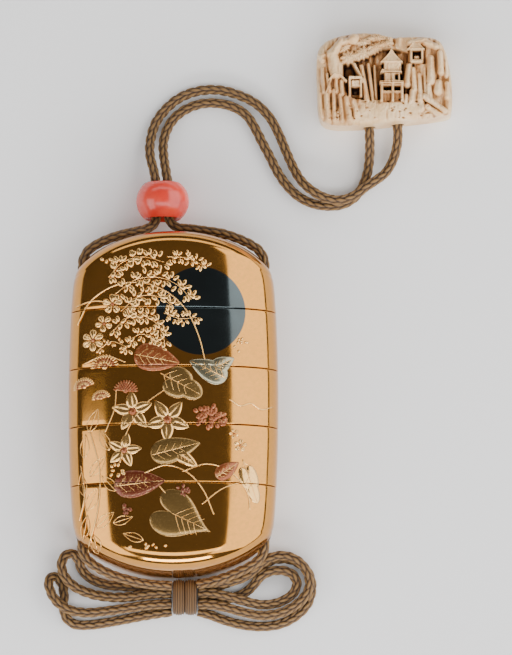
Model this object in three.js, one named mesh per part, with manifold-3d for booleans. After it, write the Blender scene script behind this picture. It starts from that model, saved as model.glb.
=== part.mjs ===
// A lacquered inro: a lid and four stacked cases on a silk cord, with a bead (ojime),
// a carved toggle (netsuke) and a bow under the case. Millimetres, +Z up. The inro lies
// on its back with its lid towards +Y, and its middle is over the origin.

import * as THREE from 'three';
import { mergeVertices } from 'three/addons/utils/BufferGeometryUtils.js';
import Module from 'manifold-3d';

const wasm = await Module();
wasm.setup();

// Driving dimensions.
const HALF_WIDTH = 27;          // widest, at mid height
const HALF_DEPTH = 12;
const SIDE_BULGE = 1.6;         // how much the sides draw in towards the ends
const SHOULDER_Y = 39.1;        // the front is straight up to here
const END_RISE = 5.2;           // the domed end beyond the shoulder
const END_SAG = 1 / 100;        // the ends' arc falls back by this times x squared
const OVAL = 2.3;               // exponent of the flattened oval section
const SHOULDER_OVAL = 2;        // how square the shoulder is
const BACK_FLAT = 0.15;         // cut off the back, so the case does not rock
const MID_Z = HALF_DEPTH - BACK_FLAT;

const SEAMS = [23.5, 8.4, -6.6, -21.7];
const SEAM_GAP = 0.3;
const RIM_HEIGHT = 3.5;
const FLOOR = 1.3;
const INNER_END = 37.5;         // the lid and the bottom case are hollow up to here
const ROOM = { halfWidth: 19.4, halfDepth: 9.3, exponent: 2.8 };
const RIM_WALL = 1.0;
const RIM_PLAY = 0.35;

const CORD_RADIUS = 1.3;
const CHANNEL_X = 23.4;
const CHANNEL_RADIUS = 1.65;
const CHANNEL_MOUTH = 2.5;
const CHANNEL_RUN = 34.8;       // half length of the straight cord in a channel

const BEAD = { x: -2.9, y: 53.8, radius: 6.85, halfLength: 6.35, bore: 3.4, mouth: 4.6 };
const KNOT = { x: 2.9, y: -48.85, halfWidth: 3.1, halfLength: 4.65, height: 7.8, bands: 2 };
const NETSUKE = { x: 54.4, y: 85.4, turn: THREE.MathUtils.degToRad(6) };
const CORD_HOLES = [-5.1, 2.3]; // in the netsuke's foot

const AROUND = 36;              // sides of the case's section
const ROOM_SIDES = 20;
const CORD_SIDES = 8;
const CORD_STEP = 4.4;

// ---- Materials ----

const gold = new THREE.MeshStandardMaterial({ color: 0xb68a4e, roughness: 0.18, metalness: 0.9 });
const silk = new THREE.MeshStandardMaterial({ color: 0x8a6038, roughness: 0.75, metalness: 0 });
const coral = new THREE.MeshStandardMaterial({ color: 0xd96556, roughness: 0.3, metalness: 0 });
const ivory = new THREE.MeshStandardMaterial({ color: 0xe4cfb4, roughness: 0.4, metalness: 0 });

// ---- Solids ----

// A closed mesh as a solid, with its faces turned outwards.
function toSolid(geometry) {
  const bare = geometry.clone();
  bare.deleteAttribute('normal');
  bare.deleteAttribute('uv');
  const merged = mergeVertices(bare, 1e-4);
  const points = merged.attributes.position.array;
  const faces = Array.from(merged.index.array);
  if (signedVolume(points, faces) < 0) {
    faces.reverse();
  }
  return new wasm.Manifold(new wasm.Mesh({
    numProp: 3,
    vertProperties: new Float32Array(points),
    triVerts: new Uint32Array(faces),
  }));
}

function signedVolume(points, faces) {
  const corner = (i) => new THREE.Vector3().fromArray(points, 3 * faces[i]);
  let volume = 0;
  for (let i = 0; i < faces.length; i += 3) {
    volume += corner(i).dot(corner(i + 1).cross(corner(i + 2))) / 6;
  }
  return volume;
}

function toGeometry(solid) {
  const mesh = solid.getMesh();
  const geometry = new THREE.BufferGeometry();
  geometry.setAttribute('position', new THREE.Float32BufferAttribute(mesh.vertProperties, 3));
  geometry.setIndex(new THREE.Uint32BufferAttribute(mesh.triVerts, 1));
  geometry.computeVertexNormals();
  return geometry;
}

// A closed skin through rings of equal length, with a point or a flat fan at both ends.
function loft(rings, firstTip, lastTip) {
  const count = rings[0].length;
  const points = rings.flat();
  const faces = [];
  for (let ring = 0; ring < rings.length - 1; ring += 1) {
    for (let i = 0; i < count; i += 1) {
      const next = (i + 1) % count;
      const low = ring * count;
      const high = low + count;
      faces.push(low + i, high + next, high + i);
      faces.push(low + i, low + next, high + next);
    }
  }
  const first = points.length;
  points.push(firstTip, lastTip);
  const top = (rings.length - 1) * count;
  for (let i = 0; i < count; i += 1) {
    const next = (i + 1) % count;
    faces.push(first, next, i);
    faces.push(first + 1, top + i, top + next);
  }
  const geometry = new THREE.BufferGeometry().setFromPoints(points);
  geometry.setIndex(faces);
  return geometry;
}

function signedPower(value, power) {
  return Math.sign(value) * Math.abs(value) ** power;
}

function superellipse(halfWidth, halfDepth, exponent, sides) {
  return Array.from({ length: sides }, (_, i) => {
    const angle = (i / sides) * 2 * Math.PI;
    const x = halfWidth * signedPower(Math.cos(angle), 2 / exponent);
    const y = halfDepth * signedPower(Math.sin(angle), 2 / exponent);
    return new THREE.Vector2(x, y);
  });
}

// A prism along Y, from y = low to y = high, round the case's long axis.
function prismAlongY(outline, low, high) {
  const geometry = new THREE.ExtrudeGeometry(new THREE.Shape(outline), {
    depth: high - low, bevelEnabled: false, steps: 1,
  });
  geometry.rotateX(-Math.PI / 2);
  geometry.translate(0, low, MID_Z);
  return toSolid(geometry);
}

function barAlongY(radius, low, high, x, z, endRadius = radius) {
  const geometry = new THREE.CylinderGeometry(endRadius, radius, high - low, 10);
  geometry.translate(x, (low + high) / 2, z);
  return toSolid(geometry);
}

// ---- The case's outer form ----

function halfWidthAt(y) {
  return HALF_WIDTH - SIDE_BULGE * (y / SHOULDER_Y) ** 2;
}

// One ring of the skin: the flattened oval at a nominal height, scaled, and bent with
// the arc of the ends. The back is cut flat.
function caseRing(nominalY, scale, endY, bend) {
  return Array.from({ length: AROUND }, (_, i) => {
    const angle = (i / AROUND) * 2 * Math.PI;
    const x = halfWidthAt(nominalY) * scale * signedPower(Math.cos(angle), 2 / OVAL);
    const z = HALF_DEPTH * scale * signedPower(Math.sin(angle), 2 / OVAL);
    const y = endY - Math.sign(endY) * bend * END_SAG * x * x;
    return new THREE.Vector3(x, y, MID_Z + Math.max(z, BACK_FLAT - HALF_DEPTH));
  });
}

function caseForm() {
  const rings = [];
  const endLevels = [0.97, 0.87, 0.66, 0.36];
  const barrel = [-1, -0.6, 0, 0.6, 1];
  const endRing = (side, level) => {
    const scale = (1 - level ** 2) ** (1 / (SHOULDER_OVAL * OVAL));
    return caseRing(side * SHOULDER_Y, scale, side * (SHOULDER_Y + END_RISE * level), 1);
  };
  endLevels.forEach((level) => rings.push(endRing(-1, level)));
  barrel.forEach((t) => rings.push(caseRing(t * SHOULDER_Y, 1, t * SHOULDER_Y, Math.abs(t))));
  endLevels.toReversed().forEach((level) => rings.push(endRing(1, level)));
  const tipY = SHOULDER_Y + END_RISE;
  const tips = [new THREE.Vector3(0, -tipY, MID_Z), new THREE.Vector3(0, tipY, MID_Z)];
  return toSolid(loft(rings, tips[0], tips[1]));
}

// The height of the front skin over a place on it.
function frontZ(x, y) {
  const beyond = Math.max(0, (Math.abs(y) + END_SAG * x * x - SHOULDER_Y) / END_RISE);
  const size = Math.max(0, 1 - beyond ** 2) ** (1 / SHOULDER_OVAL);
  const across = (Math.abs(x) / halfWidthAt(y)) ** OVAL;
  return MID_Z + HALF_DEPTH * Math.max(0, size - across) ** (1 / OVAL);
}

// ---- Raised lacquer work: leaves and flowers standing on the front ----

const RELIEF_ROOT = 0.8;

function leafOutline(length, width) {
  const sides = 10;
  return Array.from({ length: sides }, (_, i) => {
    const angle = (i / sides) * 2 * Math.PI;
    const along = Math.cos(angle);
    const taper = 1 - 0.35 * along;
    return new THREE.Vector2(along * length / 2, Math.sin(angle) * taper * width / 2);
  });
}

function flowerOutline(radius, petals) {
  const sides = petals * 4;
  return Array.from({ length: sides }, (_, i) => {
    const angle = (i / sides) * 2 * Math.PI;
    const reach = radius * (0.8 + 0.2 * Math.cos(petals * angle));
    return new THREE.Vector2(reach * Math.cos(angle), reach * Math.sin(angle));
  });
}

function raised(outline, x, y, turn, height) {
  const cos = Math.cos(turn);
  const sin = Math.sin(turn);
  const place = (point, share, rise) => {
    const px = x + share * (point.x * cos - point.y * sin);
    const py = y + share * (point.x * sin + point.y * cos);
    return new THREE.Vector3(px, py, frontZ(px, py) + rise);
  };
  const levels = [[1, -RELIEF_ROOT], [1, 0.35 * height], [0.6, height]];
  const rings = levels.map(([share, rise]) => outline.map((point) => place(point, share, rise)));
  const middle = new THREE.Vector2(0, 0);
  const geometry = loft(rings, place(middle, 1, -RELIEF_ROOT), place(middle, 1, 0.8 * height));
  return toSolid(geometry);
}

const LEAVES = [
  { x: -4.3, y: 7.6, turn: -0.3, length: 11.5, width: 5.4 },
  { x: 9.3, y: 5.6, turn: 2.7, length: 10, width: 4.6 },
  { x: 1.3, y: 0.6, turn: -0.7, length: 11, width: 7 },
  { x: -0.4, y: -12.6, turn: 0.25, length: 13, width: 5.6 },
  { x: 13.9, y: -18.4, turn: 0.6, length: 7, width: 3.8 },
  { x: 18.6, y: -27.4, turn: -1.2, length: 8, width: 5.2 },
  { x: -8.8, y: -24.6, turn: 0.2, length: 13.5, width: 7 },
  { x: 1, y: -33, turn: -0.15, length: 15, width: 8.4 },
];

const FLOWERS = [
  { x: -17.6, y: 9.6, radius: 3.8, petals: 6 },
  { x: -12.2, y: 2.9, radius: 3.6, petals: 6 },
  { x: -12, y: -5.6, radius: 4.8, petals: 5 },
  { x: -12.4, y: -14.4, radius: 3.8, petals: 5 },
  { x: -15.6, y: 24.6, radius: 2.6, petals: 5 },
  { x: 8.8, y: -6.6, radius: 3, petals: 5 },
];

function reliefWork() {
  const leaves = LEAVES.map((leaf) => {
    return raised(leafOutline(leaf.length, leaf.width), leaf.x, leaf.y, leaf.turn, 0.75);
  });
  const flowers = FLOWERS.map((flower) => {
    return raised(flowerOutline(flower.radius, flower.petals), flower.x, flower.y, 0.3, 0.7);
  });
  return [...leaves, ...flowers];
}

// ---- Sections of the case ----

function sectionSolid(whole, seamAbove, seamBelow) {
  const high = seamAbove === undefined ? SHOULDER_Y + 2 * END_RISE : seamAbove - SEAM_GAP / 2;
  const low = seamBelow === undefined ? -SHOULDER_Y - 2 * END_RISE : seamBelow + SEAM_GAP / 2;
  const slab = new THREE.BoxGeometry(4 * HALF_WIDTH, high - low, 8 * HALF_DEPTH);
  slab.translate(0, (low + high) / 2, 0);
  let solid = whole.intersect(toSolid(slab));

  const room = superellipse(ROOM.halfWidth, ROOM.halfDepth, ROOM.exponent, ROOM_SIDES);
  const rimHalfWidth = ROOM.halfWidth + RIM_WALL;
  const rimHalfDepth = ROOM.halfDepth + RIM_WALL;
  const rim = superellipse(rimHalfWidth, rimHalfDepth, ROOM.exponent, ROOM_SIDES);
  const recess = superellipse(rimHalfWidth + RIM_PLAY, rimHalfDepth + RIM_PLAY, ROOM.exponent, ROOM_SIDES);

  const rimTop = seamAbove === undefined ? INNER_END : seamAbove + RIM_HEIGHT;
  const recessTop = seamBelow === undefined ? low : seamBelow + RIM_HEIGHT + RIM_PLAY;
  let roomFloor = seamBelow === undefined ? -INNER_END : recessTop + FLOOR;
  if (seamAbove === undefined) {
    roomFloor = recessTop - RIM_PLAY;
  }
  if (seamAbove !== undefined) {
    solid = solid.add(prismAlongY(rim, high - FLOOR, rimTop));
  }
  if (seamBelow !== undefined) {
    solid = solid.subtract(prismAlongY(recess, low - 1, recessTop));
  }
  const roomTop = seamAbove === undefined ? INNER_END : rimTop + 1;
  return solid.subtract(prismAlongY(room, roomFloor, roomTop));
}

function caseSections() {
  let whole = caseForm();
  reliefWork().forEach((piece) => { whole = whole.add(piece); });
  [-1, 1].forEach((side) => {
    const x = side * CHANNEL_X;
    const far = SHOULDER_Y + END_RISE;
    const mouth = CHANNEL_RUN - 0.6;
    whole = whole.subtract(barAlongY(CHANNEL_RADIUS, -far, far, x, MID_Z));
    whole = whole.subtract(barAlongY(CHANNEL_RADIUS, mouth, far - 4, x, MID_Z, CHANNEL_MOUTH));
    whole = whole.subtract(barAlongY(CHANNEL_MOUTH, 4 - far, -mouth, x, MID_Z, CHANNEL_RADIUS));
  });
  const names = ['lid', 'case_1', 'case_2', 'case_3', 'case_4'];
  return names.map((name, i) => {
    return named(name, toGeometry(sectionSolid(whole, SEAMS[i - 1], SEAMS[i])), gold);
  });
}

function named(name, geometry, material) {
  const mesh = new THREE.Mesh(geometry, material);
  mesh.name = name;
  return mesh;
}

// ---- Cords ----

// Each free strand follows one smooth curve through its own points.
const CORD_ROUTES = {
  cord_left: [
    [-23.4, 35.1, 11.85], [-23.35, 37.4, 11.85], [-22.2, 39.9, 11.8], [-19.9, 41.7, 11.7],
    [-16.6, 43.3, 11.5], [-13.1, 44.5, 11.1], [-9.6, 45.4, 10.3], [-6.9, 46.3, 9.1],
    [-5.1, 47.8, 7.7], [-4.45, 50.2, 6.9], [-4.45, 53.8, 6.85], [-4.55, 57.5, 6.7],
    [-5.2, 62.0, 5.6], [-6.2, 66.4, 4.0], [-6.1, 70.6, 2.5], [-4.7, 75.4, 1.6],
    [-1.9, 79.2, 1.4], [1.8, 82.1, 1.4], [6.8, 83.8, 1.4], [11.9, 83.9, 1.4],
    [17.1, 82.5, 1.4], [21.4, 80.2, 1.4], [24.7, 76.8, 1.4], [27, 72.6, 1.4],
    [29, 67.8, 1.4], [30.9, 63.4, 1.9], [33.1, 59.6, 3.1], [36.1, 56.8, 4.1],
    [39.7, 55.0, 4.2], [43.5, 54.7, 4.2], [46.8, 55.9, 4.2], [49.5, 58.0, 4.2],
    [52.2, 59.9, 3.6], [54.8, 62.2, 2.5], [56.7, 65.6, 2.2], [57.8, 70.0, 3.1],
    [57.8, 74.2, 4.0], [57.4, 78.6, 4.0],
  ],
  cord_right: [
    [23.4, 35.1, 11.85], [23.35, 37.4, 11.85], [22.2, 39.9, 11.8], [19.9, 41.7, 11.7],
    [16.6, 43.3, 11.5], [12.6, 44.7, 11.1], [8.4, 45.5, 10.4], [4.4, 46.2, 9.4],
    [1.0, 46.8, 8.2], [-0.8, 48.3, 7.3], [-1.35, 50.6, 6.9], [-1.35, 53.8, 6.85],
    [-1.45, 57.5, 6.7], [-2.0, 61.5, 5.7], [-2.6, 65.8, 4.1], [-2.75, 69.8, 2.5],
    [-1.7, 73.8, 1.6], [0.4, 76.9, 1.4], [3.5, 79.1, 1.4], [7.5, 80.4, 1.4],
    [11.7, 80.4, 1.4], [15.7, 79.3, 1.4], [18.8, 77.2, 1.4], [20.9, 74.0, 1.4],
    [22.8, 70.2, 1.4], [24.8, 66.4, 1.4], [26.8, 62.4, 1.4], [29.1, 59.0, 1.4],
    [32.2, 56.0, 1.4], [36.0, 54.1, 1.4], [39.8, 53.5, 1.4], [43.5, 53.9, 1.4],
    [46.4, 55.5, 1.4], [48.2, 57.6, 1.4], [49.4, 60.2, 1.4], [50.2, 63.0, 1.5],
    [50.6, 67.2, 2.3], [50.6, 71.0, 3.5], [50.4, 74.4, 4.0], [50.0, 77.9, 4.0],
  ],
  cord_tie_left: [
    [-23.4, -35.1, 11.85], [-23.35, -37.4, 11.85], [-22.2, -39.9, 11.8], [-19.6, -42.0, 11.4],
    [-15.6, -43.9, 10.4], [-11.2, -45.1, 9.1], [-6.6, -45.9, 7.7], [-0.5, -46.2, 6.4],
  ],
  cord_tie_right: [
    [23.4, -35.1, 11.85], [23.35, -37.4, 11.85], [22.2, -39.9, 11.8], [19.9, -41.7, 11.4],
    [16.4, -43.3, 10.4], [12.8, -44.6, 9.1], [9.6, -45.4, 7.9], [6.3, -45.9, 6.6],
  ],
  bow_left_short: [
    [-0.5, -47.8, 3.9], [-5.1, -47.9, 3.7], [-10.8, -48.6, 3.3], [-16.1, -48.7, 3.1],
    [-21, -47.9, 3.1], [-25.1, -46.2, 3.4], [-27.8, -43.7, 4.0], [-28.8, -40.8, 4.2],
    [-28, -38.2, 4.0], [-26, -37.5, 3.5], [-24.5, -39, 2.6], [-23.6, -41.4, 1.7],
    [-21.4, -43.6, 1.35], [-17.6, -45.2, 1.35], [-12.4, -45.7, 1.35], [-6.9, -46.1, 1.35],
    [-0.5, -46.5, 1.35],
  ],
  bow_left_long: [
    [-0.5, -50.5, 4.0], [-5.9, -50.8, 3.9], [-11.4, -51.5, 3.6], [-17, -52.3, 3.4],
    [-22.6, -52.8, 3.7], [-27, -52.0, 4.1], [-30, -49.9, 4.1], [-31.7, -47, 3.9],
    [-32, -44.3, 3.2], [-30.6, -43.2, 2.0], [-28.9, -44.7, 1.35], [-28.2, -47.6, 1.35],
    [-28.3, -50.8, 1.35], [-27.6, -53.7, 1.35], [-25.4, -55.5, 1.35], [-21.6, -55.7, 1.35],
    [-17, -55.1, 1.35], [-12.2, -54.2, 1.35], [-6.4, -53.1, 1.35], [-0.5, -52.2, 1.35],
  ],
  bow_right_short: [
    [6.3, -47.9, 4.0], [9.4, -47.8, 4.1], [13.8, -48.6, 4.2], [18.5, -49.9, 4.0],
    [23, -50.7, 3.4], [27.4, -49.9, 3.0], [30.6, -47.8, 2.8], [31.7, -45.1, 2.7],
    [30.7, -42.9, 2.7], [28.4, -41.8, 2.7], [25.3, -41.9, 2.7], [22.6, -43.1, 2.5],
    [20.9, -45, 2.0], [19, -46.9, 1.5], [15.6, -48.5, 1.35], [11.2, -49.4, 1.35],
    [6.3, -49.5, 1.35],
  ],
  bow_right_middle: [
    [6.3, -50.6, 4.0], [9.4, -50.7, 4.1], [13.8, -51.6, 4.2], [18.5, -52.9, 4.2],
    [23, -53.6, 4.2], [27.6, -52.9, 4.2], [31.3, -51.0, 4.2], [34.1, -48.2, 4.2],
    [35, -45.3, 4.2], [34.2, -42.1, 4.2], [31.9, -39.4, 4.2], [28.6, -38.1, 4.2],
    [25.3, -38.5, 4.2], [22.6, -40.1, 4.2], [19.8, -42.6, 4.2], [16.6, -44.3, 4.2],
    [12.6, -45.1, 4.1], [6.3, -45.25, 3.9],
  ],
  bow_right_long: [
    [6.3, -52.2, 1.35], [9.4, -53.1, 1.35], [13.8, -54.7, 1.35], [18.5, -55.8, 1.35],
    [23, -56.1, 1.35], [27.6, -55.4, 1.35], [31.4, -53.4, 1.35], [34.3, -50.4, 1.35],
    [35.5, -46.7, 1.35], [35.1, -43.2, 1.35], [33.3, -40.4, 1.35], [30.9, -39, 1.35],
    [28.4, -38.5, 1.35], [25.4, -38.9, 1.35], [22.6, -40.4, 1.35], [19.9, -42.1, 1.35],
    [16.8, -43.7, 1.35], [12.4, -45.3, 1.35], [6.3, -46.8, 1.35],
  ],
};

function cordTube(points) {
  const curve = new THREE.CatmullRomCurve3(points.map((point) => new THREE.Vector3(...point)));
  const steps = Math.max(2, Math.round(curve.getLength() / CORD_STEP));
  const section = new THREE.Shape(superellipse(CORD_RADIUS, CORD_RADIUS, 2, CORD_SIDES));
  return new THREE.ExtrudeGeometry(section, { steps, extrudePath: curve, bevelEnabled: false });
}

function cordPieces() {
  const free = Object.entries(CORD_ROUTES).map(([name, points]) => {
    return named(name, cordTube(points), silk);
  });
  const held = [['cord_run_left', -CHANNEL_X], ['cord_run_right', CHANNEL_X]].map(([name, x]) => {
    const run = new THREE.CylinderGeometry(CORD_RADIUS, CORD_RADIUS, 2 * CHANNEL_RUN, CORD_SIDES);
    run.translate(x, 0, MID_Z);
    return named(name, run, silk);
  });
  return [...free, ...held];
}

// The wrapped middle of the bow: rounded bands side by side.
function bowKnot() {
  const bandWidth = (2 * KNOT.halfWidth) / KNOT.bands;
  const rings = [];
  const profile = [[0, 0.86], [0.2, 0.98], [0.5, 1], [0.8, 0.98], [1, 0.86]];
  for (let band = 0; band < KNOT.bands; band += 1) {
    profile.slice(band === 0 ? 0 : 1).forEach(([share, size]) => {
      const x = KNOT.x - KNOT.halfWidth + (band + share) * bandWidth;
      const outline = superellipse(KNOT.halfLength * size, KNOT.height / 2 * size, 2.6, 16);
      rings.push(outline.map((point) => {
        return new THREE.Vector3(x, KNOT.y + point.x, KNOT.height / 2 + point.y);
      }));
    });
  }
  const tips = [-1, 1].map((side) => {
    return new THREE.Vector3(KNOT.x + side * KNOT.halfWidth, KNOT.y, KNOT.height / 2);
  });
  return named('bow_knot', toGeometry(toSolid(loft(rings, ...tips))), silk);
}

// ---- Bead ----

function ojimeBead() {
  const steps = 8;
  const reach = Math.acos(BEAD.mouth / BEAD.radius);
  const profile = Array.from({ length: steps + 1 }, (_, i) => {
    const angle = -reach + (2 * reach * i) / steps;
    return new THREE.Vector2(BEAD.radius * Math.cos(angle), BEAD.halfLength * Math.sin(angle));
  });
  const lip = BEAD.halfLength * Math.sin(reach) - (BEAD.mouth - BEAD.bore);
  profile.push(new THREE.Vector2(BEAD.bore, lip));
  profile.push(new THREE.Vector2(BEAD.bore, -lip));
  profile.push(profile[0].clone());
  const geometry = new THREE.LatheGeometry(profile, 20);
  geometry.translate(BEAD.x, BEAD.y, BEAD.radius);
  return named('ojime_bead', geometry, coral);
}

// ---- Netsuke: a landscape of buildings, rocks and pine, its foot towards -Y ----

const GROUND = 8.8;             // the floor of the hollow in front of the buildings
const CREST = 12;               // the general height of the carved face

// A block whose foot is sunk below the ground of the carving.
function block(width, length, x, y, top, turn = 0, foot = GROUND - 0.6) {
  const geometry = new THREE.BoxGeometry(width, length, top - foot);
  geometry.rotateZ(turn);
  geometry.translate(x, y, (top + foot) / 2);
  return toSolid(geometry);
}

// A roof seen from its front, with eaves below and a ridge or a point above.
function roof(halfWidth, rise, x, y, top, ridge = 0.12) {
  const outline = [
    [-halfWidth, 0], [halfWidth, 0], [halfWidth * (0.4 + ridge / 2), rise * 0.42],
    [halfWidth * ridge, rise], [-halfWidth * ridge, rise],
    [-halfWidth * (0.4 + ridge / 2), rise * 0.42],
  ].map(([px, py]) => new THREE.Vector2(px, py));
  const foot = GROUND - 0.6;
  const geometry = new THREE.ExtrudeGeometry(new THREE.Shape(outline), {
    depth: top - foot, bevelEnabled: false, steps: 1,
  });
  geometry.translate(x, y, foot);
  return toSolid(geometry);
}

// A rock: a leaning blunt cone that stands up the carving.
function rock(width, length, height, x, y, lean) {
  const geometry = new THREE.CylinderGeometry(width * 0.28, width / 2, length, 6);
  geometry.scale(1, 1, height / width);
  geometry.rotateZ(lean);
  geometry.translate(x, y, CREST - 1.2);
  return toSolid(geometry);
}

function pinePad(radius, x, y) {
  const geometry = new THREE.SphereGeometry(radius, 8, 6);
  geometry.scale(1, 0.66, 0.7);
  geometry.translate(x, y, CREST - 0.6);
  return toSolid(geometry);
}

function netsukeBody() {
  const corners = [
    [-17, -11.5], [15.2, -11.5], [16.6, -10.4], [17.3, -3.3], [16.9, 3.5], [16, 7.6],
    [13.6, 9.8], [7.6, 10.4], [3, 10.6], [-1, 12.2], [-6.6, 12.9], [-13.2, 12.1],
    [-16.6, 9.6], [-17.4, 4], [-17.6, -1], [-18.2, -6.5],
  ];
  const bevel = 1.1;
  const outline = new THREE.Shape(corners.map(([x, y]) => new THREE.Vector2(x, y)));
  const geometry = new THREE.ExtrudeGeometry(outline, {
    depth: CREST - 2 * bevel, steps: 1, bevelEnabled: true,
    bevelThickness: bevel, bevelSize: bevel, bevelOffset: -bevel, bevelSegments: 2,
  });
  geometry.translate(0, 0, bevel);
  return toSolid(geometry);
}

const PINE_PADS = [
  [2.8, -12.6, 9.6], [3.0, -8.4, 8.4], [2.6, -4.8, 10.6], [2.4, -3.6, 7.2],
  [2.4, 0.4, 10.2], [2.2, -11.2, 6.4], [1.9, -16.3, 6.6], [2.3, 5.2, 9.2],
];

// Width, length, height, place and lean of each rock.
const ROCKS = [
  [3.4, 8.6, 4.6, -15.2, -5.6, 0.05], [3.6, 9.4, 5.2, -12, -5, -0.06],
  [3.2, 8, 5, -9, -6.2, 0.05], [2.6, 5.6, 4.4, -5.2, -6.6, 0.12],
  [3.2, 9, 5.4, 8.6, -2.4, 0.12], [3.4, 8.4, 5, 11.6, 1, -0.12],
  [3.6, 9.2, 4.8, 14.4, 2.8, 0.1], [3.4, 7.6, 4.6, 13.4, -4.8, 0.5],
  [2.8, 5.4, 4.2, 9, -7.2, 0.9],
];

function netsukeSolid() {
  let solid = netsukeBody();
  const add = (piece) => { solid = solid.add(piece); };
  const hollow = (width, length, x, y, floor) => {
    solid = solid.subtract(block(width, length, x, y, CREST + 4, 0, floor));
  };

  // The hollow that the buildings stand in, and the dark one under the pine.
  hollow(17, 12.4, 0.6, -0.4, GROUND);
  hollow(4.6, 3.2, -8.2, 3, GROUND - 1);

  // The rocks along both sides, and the pine with its trunk.
  ROCKS.forEach((sizes) => add(rock(...sizes)));
  PINE_PADS.forEach((sizes) => add(pinePad(...sizes)));
  add(block(1.4, 7.4, -5.2, 2.4, CREST - 0.6, 0.25));

  // The main pavilion: a pointed roof, a lower roof, a gallery and its posts.
  add(block(5.2, 5.6, 1.9, 1.2, CREST + 0.4));
  add(block(5.8, 3.6, 1.9, -3.4, GROUND + 0.6));
  hollow(1.2, 1.5, 3.5, 0.1, CREST - 1);
  add(roof(3.7, 5.4, 1.9, 3.4, CREST + 1.4));
  add(roof(4.1, 1.5, 1.9, 1.1, CREST + 1, 0.8));
  add(block(8.2, 0.8, 1.9, -1.5, CREST + 1));
  [-1.7, 1.9, 5.3].forEach((x) => add(block(0.9, 4.8, x, -4.1, CREST + 0.3)));

  // The small pavilion up on the right.
  hollow(5.6, 6, 9, 5.2, GROUND + 1.6);
  add(block(3.6, 4.6, 9, 4.4, CREST + 0.2));
  hollow(1.9, 1.6, 9, 5, CREST - 1.2);
  add(roof(3.2, 2.2, 9, 6.9, CREST + 0.9, 0.55));

  // The gate, and the thatched roof beyond it on the left.
  add(roof(2.4, 1.3, -7.9, 0.9, CREST + 0.6, 0.7));
  [-9.5, -6.3].forEach((x) => add(block(0.8, 4.8, x, -1.2, CREST + 0.2)));
  add(roof(3.2, 2.4, -13.2, 0.6, CREST + 1, 0.3));

  // The two cord holes in the foot.
  CORD_HOLES.forEach((x) => {
    const hole = new THREE.CylinderGeometry(CHANNEL_RADIUS, CHANNEL_RADIUS, 12, 10);
    hole.translate(x, -11.5, 4);
    solid = solid.subtract(toSolid(hole));
  });
  return solid;
}

function netsuke() {
  const mesh = named('netsuke', toGeometry(netsukeSolid()), ivory);
  mesh.rotation.z = NETSUKE.turn;
  mesh.position.set(NETSUKE.x, NETSUKE.y, 0);
  return mesh;
}

const inro = new THREE.Group();
inro.add(...caseSections(), ...cordPieces(), bowKnot(), ojimeBead(), netsuke());

export default inro;
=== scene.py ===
"""The looks of a gold-lacquered inro on its cord, with its bead and carved toggle."""

import math
import random

import bmesh
import bpy
import numpy as np
from mathutils import Matrix, Vector, noise


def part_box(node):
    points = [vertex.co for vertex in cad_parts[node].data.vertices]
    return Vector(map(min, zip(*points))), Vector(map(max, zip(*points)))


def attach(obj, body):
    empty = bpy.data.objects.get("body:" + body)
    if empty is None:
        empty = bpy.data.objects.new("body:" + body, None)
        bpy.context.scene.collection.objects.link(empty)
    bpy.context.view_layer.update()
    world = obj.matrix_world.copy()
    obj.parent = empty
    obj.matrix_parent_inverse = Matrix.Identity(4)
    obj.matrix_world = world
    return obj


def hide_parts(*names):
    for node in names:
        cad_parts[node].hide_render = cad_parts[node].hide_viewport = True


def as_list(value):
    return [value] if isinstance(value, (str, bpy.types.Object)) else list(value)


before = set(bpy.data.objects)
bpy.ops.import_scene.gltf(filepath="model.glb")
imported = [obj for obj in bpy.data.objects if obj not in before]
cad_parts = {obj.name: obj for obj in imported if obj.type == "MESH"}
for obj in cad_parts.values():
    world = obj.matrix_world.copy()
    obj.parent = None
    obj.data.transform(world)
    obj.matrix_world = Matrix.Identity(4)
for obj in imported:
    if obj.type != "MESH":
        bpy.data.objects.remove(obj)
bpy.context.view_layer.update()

MM = 0.001
ROOT = "root"

# The case, in millimetres, as the model gives it.
HALF_WIDTH = 27.0
HALF_DEPTH = 12.0
SIDE_BULGE = 1.6
SHOULDER_Y = 39.1
END_RISE = 5.2
END_SAG = 1 / 100
OVAL = 2.3
SHOULDER_OVAL = 2
BACK_FLAT = 0.15
MID_Z = HALF_DEPTH - BACK_FLAT
SEAMS = [23.5, 8.4, -6.6, -21.7]
RIM_HEIGHT = 3.5
FLOOR_THICKNESS = 1.3
INNER_END = 37.5
ROOM = (19.4, 9.3, 2.8)  # half width, half depth, exponent
RIM_WALL = 1.0
RIM_PLAY = 0.35
CHANNEL_X = 23.4
CHANNEL_RADIUS = 1.65
CHANNEL_MOUTH = 2.5
CHANNEL_RUN = 34.8
CORD_DIAMETER = 2.6
SEAM_GAP = 0.16

MOON = (7.1, 22.6, 11.4)  # x, y, radius


# ---------------------------------------------------------------- meshes


def mesh_object(name, points, faces, materials, slots=None, smooth=True):
    """A mesh object from points in millimetres."""
    mesh = bpy.data.meshes.new(name)
    mesh.from_pydata([tuple(c * MM for c in p) for p in points], [], faces)
    for material in materials:
        mesh.materials.append(material)
    if slots is not None:
        mesh.polygons.foreach_set("material_index", slots)
    mesh.polygons.foreach_set("use_smooth", [smooth] * len(mesh.polygons))
    mesh.update()
    obj = bpy.data.objects.new(name, mesh)
    bpy.context.scene.collection.objects.link(obj)
    return obj


def turn_outwards(obj):
    """Makes every face of a closed mesh point out."""
    work = bmesh.new()
    work.from_mesh(obj.data)
    bmesh.ops.recalc_face_normals(work, faces=work.faces)
    work.to_mesh(obj.data)
    work.free()


def sharpen(obj, degrees):
    """Creases the shading at edges that turn more than this."""
    obj.data.set_sharp_from_angle(angle=math.radians(degrees))


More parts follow.
